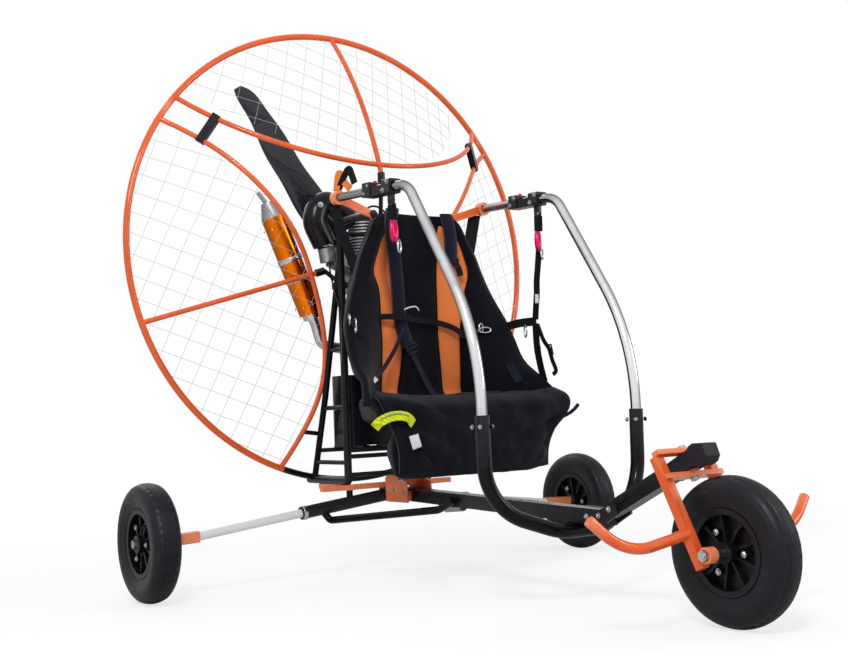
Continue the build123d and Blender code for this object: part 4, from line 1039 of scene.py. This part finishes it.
CAN_FOOT = at(-166, 157, 827)
CAN_AXIS = at(-291, 157, 1130) - CAN_FOOT
bands("silencer_bands", [(CAN_FOOT + CAN_AXIS * share, CAN_AXIS, 0.0388) for share in (0.36, 0.56)],
      width=0.016)
bands("axle_bands", [(at(sign * 300, 0, 209), (1, 0, 0), 0.0192) for sign in (-1, 1)],
      width=0.014)
bands("carburettor_band", [(at(-136, 100, 1034), (0.16, 0, 1), 0.0262)], width=0.01)

# Rivets along the silencer's end bands
RIVETS, RIVET_SHARES, CAN_R = 10, (0.085, 0.895), 0.0384
RIVET = ((0, 0.0028), (0.0009, 0.0025), (0.0015, 0.0012))
build = bmesh.new()
for share in RIVET_SHARES:
    for k in range(RIVETS):
        turn = Matrix.Rotation(2 * pi * k / RIVETS, 3, CAN_AXIS)
        out = turn @ CAN_AXIS.normalized().orthogonal()
        turned(build, CAN_FOOT + CAN_AXIS * share + out * CAN_R, out, RIVET, 10)
from_bmesh("silencer_rivets", build, MAT["zinc"])

# Engine details: plug lead, throttle cable and fuel line
LINES = (
    # name, radius, material, points
    ("plug_lead", 0.0035, MAT["black_plastic"], (
        (0, 85, 1152), (12, 60, 1176), (48, 20, 1150), (62, 0, 1060), (40, 10, 985))),
    ("throttle_cable", 0.0028, MAT["black_plastic"], (
        (-130, 86, 1000), (-150, 60, 960), (-160, 10, 880), (-180, -60, 800), (-215, -120, 720),
        (-262, -195, 640))),
    ("fuel_line", 0.003, RED_PLASTIC, (
        (-110, 100, 990), (-90, 70, 930), (-60, 40, 820), (-20, 20, 700), (-10, 40, 610))),
)
for name, radius, material, points in LINES:
    curve_piece(name, [places(*points)], radius, material)

# Bolts on the airbox and round the crankcase
CASE_R, CASE_FRONT, CRANK_Z = 66, 24.5, 935
CASE_TURNS = (0.3, 1.35, 2.4, 3.45, 4.5, 5.5)
bolts("airbox_bolt", [(at(-170, 62, 1162), (-0.2, -1, 0))], 0.006, 0.005)
bolts("case_bolts", [
    (at(CASE_R * cos(turn), CASE_FRONT, CRANK_Z + CASE_R * sin(turn)), (0, -1, 0))
    for turn in CASE_TURNS
], 0.0035, 0.003)

# Propeller hub: bolts through a front plate, which leans back with the cage's ring
RING_R, RING_Y, RING_Z, RING_LEAN = 745.0, 231.0, 1032.0, radians(1.85)
HUB_BOLTS, HUB_BOLT_R, HUB_FACE = 6, 0.027, 0.0185
hub_low, hub_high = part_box("propeller_hub")
hub = (Vector(hub_low) + Vector(hub_high)) / 2
prop_axis = Vector((0, cos(RING_LEAN), -sin(RING_LEAN)))
heads = []
for k in range(HUB_BOLTS):
    out = Matrix.Rotation(2 * pi * k / HUB_BOLTS, 3, prop_axis) @ Vector((1, 0, 0))
    heads.append((hub + prop_axis * HUB_FACE + out * HUB_BOLT_R, prop_axis))
bolts("propeller_bolts", heads, 0.0045, 0.004, "propeller", washer=1.3)

# Safety net: crossed cords on the bowed surface between ring and inner tubes
SIDE_INNER = (
    (628, 244, 1432), (528, 172, 1363), (421, 86, 1256), (329, 50, 1147), (253, 60, 1043),
    (195, 78, 908), (161, 111, 594), (207, 163, 448), (268, 208, 337))
# The top's inner tube: lowest point, radius, climb, fall back and half width
TOP_Y, TOP_Z, TOP_R = -28.0, 1286.0, 641.0
TOP_RISE, TOP_BACK, TOP_HALF = 221.0, 276.0, 560
NET_PITCH = 60.0
NET_SLOPE = radians(22)
NET_R = 0.0006
NET_MARGIN = 12
# Cords and steps either way, a step, and which points are kept
NET_CORDS, CORD_STEPS, CORD_STEP, KEEP_EVERY = 14, 90, 12, 4
inner_row = smooth_row([Vector(p) for p in SIDE_INNER], 120)


def net_depth(x, z):
    """Depth of the side net at a place, or None outside it."""
    near = min(inner_row, key=lambda p: abs(p.z - z))
    high = z - RING_Z
    if abs(near.z - z) > NET_MARGIN or abs(high) > RING_R - NET_MARGIN:
        return None
    outer_x = (RING_R ** 2 - high ** 2) ** 0.5
    outer_y = RING_Y + high * sin(RING_LEAN)
    if not near.x <= x <= outer_x:
        return None
    share = (x - near.x) / max(outer_x - near.x, 1.0)
    return near.y + (outer_y - near.y) * share


def top_depth(x, z):
    """Depth of the top net at a place, or None outside it."""
    if abs(x) > TOP_HALF:
        return None
    climb = TOP_R - (TOP_R ** 2 - x ** 2) ** 0.5
    inner_z = TOP_Z + climb
    inner_y = TOP_Y + TOP_BACK * min(1.0, climb / TOP_RISE)
    outer_z = RING_Z + (RING_R ** 2 - x ** 2) ** 0.5
    if not inner_z <= z <= outer_z:
        return None
    share = (z - inner_z) / max(outer_z - inner_z, 1.0)
    outer_y = RING_Y + (outer_z - RING_Z) * sin(RING_LEAN)
    return inner_y + (outer_y - inner_y) * share


def net_runs(depth, slope, flip):
    """All the cords of one family on one net."""
    runs = []
    along = Vector((cos(slope), -sin(slope)))
    aside = Vector((sin(slope), cos(slope)))
    for count in range(-NET_CORDS, NET_CORDS + 1):
        run = []
        for step in range(-CORD_STEPS, CORD_STEPS + 1):
            flat = aside * (count * NET_PITCH) + along * (step * CORD_STEP)
            x, z = flat.x, RING_Z + flat.y
            y = depth(x, z)
            if y is None:
                if len(run) > 2:
                    runs.append(run)
                run = []
            else:
                run.append(at(flip * x, y, z))
        if len(run) > 2:
            runs.append(run)
    return [run[:-1:KEEP_EVERY] + [run[-1]] for run in runs]


for side, sign in SIDES:
    cords = net_runs(net_depth, -NET_SLOPE, sign) + net_runs(net_depth, pi / 2 - NET_SLOPE, sign)
    curve_piece(f"net_{side}", cords, NET_R, NET_CORD, smooth=False, sides=0)
cords = net_runs(top_depth, NET_SLOPE, 1) + net_runs(top_depth, NET_SLOPE - pi / 2, 1)
curve_piece("net_top", cords, NET_R, NET_CORD, smooth=False, sides=0)

# Floor: plain white that keeps only the object's soft shadow
FLOOR_HALF = 30.0
FLOOR_GLOW, FLOOR_SHARE = 0.72, 0.3
FADE_FROM, FADE_TO = 1.3, 3.4


def floor_paint():
    """White paint: seen straight it glows and takes shadow; far off it is all white."""
    s = Shader("floor_paint")
    grain = s.spread(s.noise(3, 3), 0.97, 0.01)
    seen = s.node("ShaderNodeBsdfDiffuse", {"Color": s.mix(FLOOR_SHARE, BLACK, grain)})
    glow = s.node("ShaderNodeEmission", {"Color": WHITE, "Strength": FLOOR_GLOW})
    both = s.node("ShaderNodeAddShader", {0: seen.outputs[0], 1: glow.outputs[0]})
    white = s.node("ShaderNodeEmission", {"Color": WHITE})
    far = s.node("ShaderNodeVectorMath", {0: s.coords}, operation="LENGTH")
    reach = {"Value": far.outputs["Value"], "From Min": FADE_FROM, "From Max": FADE_TO}
    fade = s.node("ShaderNodeMapRange", reach, interpolation_type="SMOOTHSTEP").outputs[0]
    mixed = s.node("ShaderNodeMixShader", {0: fade, 1: both.outputs[0], 2: white.outputs[0]})
    plain = s.node("ShaderNodeBsdfDiffuse", {"Color": (0.8, 0.8, 0.8, 1)})
    straight = s.node("ShaderNodeLightPath").outputs["Is Camera Ray"]
    picked = s.node("ShaderNodeMixShader", {0: straight, 1: plain.outputs[0], 2: mixed.outputs[0]})
    s.put(s.tree.nodes["Material Output"].inputs["Surface"], picked.outputs[0])
    return s.material


def make_floor():
    """Lay the floor under the object."""
    corners = ((-1, -1), (1, -1), (1, 1), (-1, 1))
    mesh = bpy.data.meshes.new("floor")
    mesh.from_pydata([(x * FLOOR_HALF, y * FLOOR_HALF, 0) for x, y in corners], [], [(0, 1, 2, 3)])
    mesh.materials.append(floor_paint())
    floor = add_object("floor", mesh)


make_floor()

# World: white to the eye, duller in reflections and as light
SKY_LIGHT = 0.55
MIRROR_SHARE = 0.7


def make_world():
    """Light the scene from all round."""
    world = bpy.data.worlds.new("world")
    bpy.context.scene.world = world
    world.use_nodes = True
    s = Nodes(world.node_tree)
    path = s.node("ShaderNodeLightPath").outputs
    eye = s.math("MAXIMUM", path["Is Camera Ray"], path["Is Transmission Ray"])
    mirror = s.math("MULTIPLY", path["Is Glossy Ray"], MIRROR_SHARE)
    brightest = s.math("MAXIMUM", eye, mirror)
    level = s.node("ShaderNodeMapRange", {"Value": brightest, "To Min": SKY_LIGHT})
    sky = s.tree.nodes["Background"]
    s.put(sky.inputs["Color"], WHITE)
    s.put(sky.inputs["Strength"], level.outputs[0])


make_world()


def lamp(name, place, aim, size, watts):
    """A soft square lamp aimed at a point."""
    data = bpy.data.lights.new(name, "AREA")
    data.size = size
    data.energy = watts
    made = add_object(name, data)
    made.location = place
    made.rotation_euler = (Vector(aim) - Vector(place)).to_track_quat("-Z", "Y").to_euler()


lamp("key", (-2.6, -2.6, 3.4), (0, 0, 0.8), 1.0, 105)
lamp("fill", (3.2, -2.6, 1.8), (0, 0, 0.7), 1.2, 35)
lamp("back", (0, 4.0, 3.5), (0, 0, 0.8), 2.5, 40)
bpy.context.scene.view_settings.view_transform = "Standard"
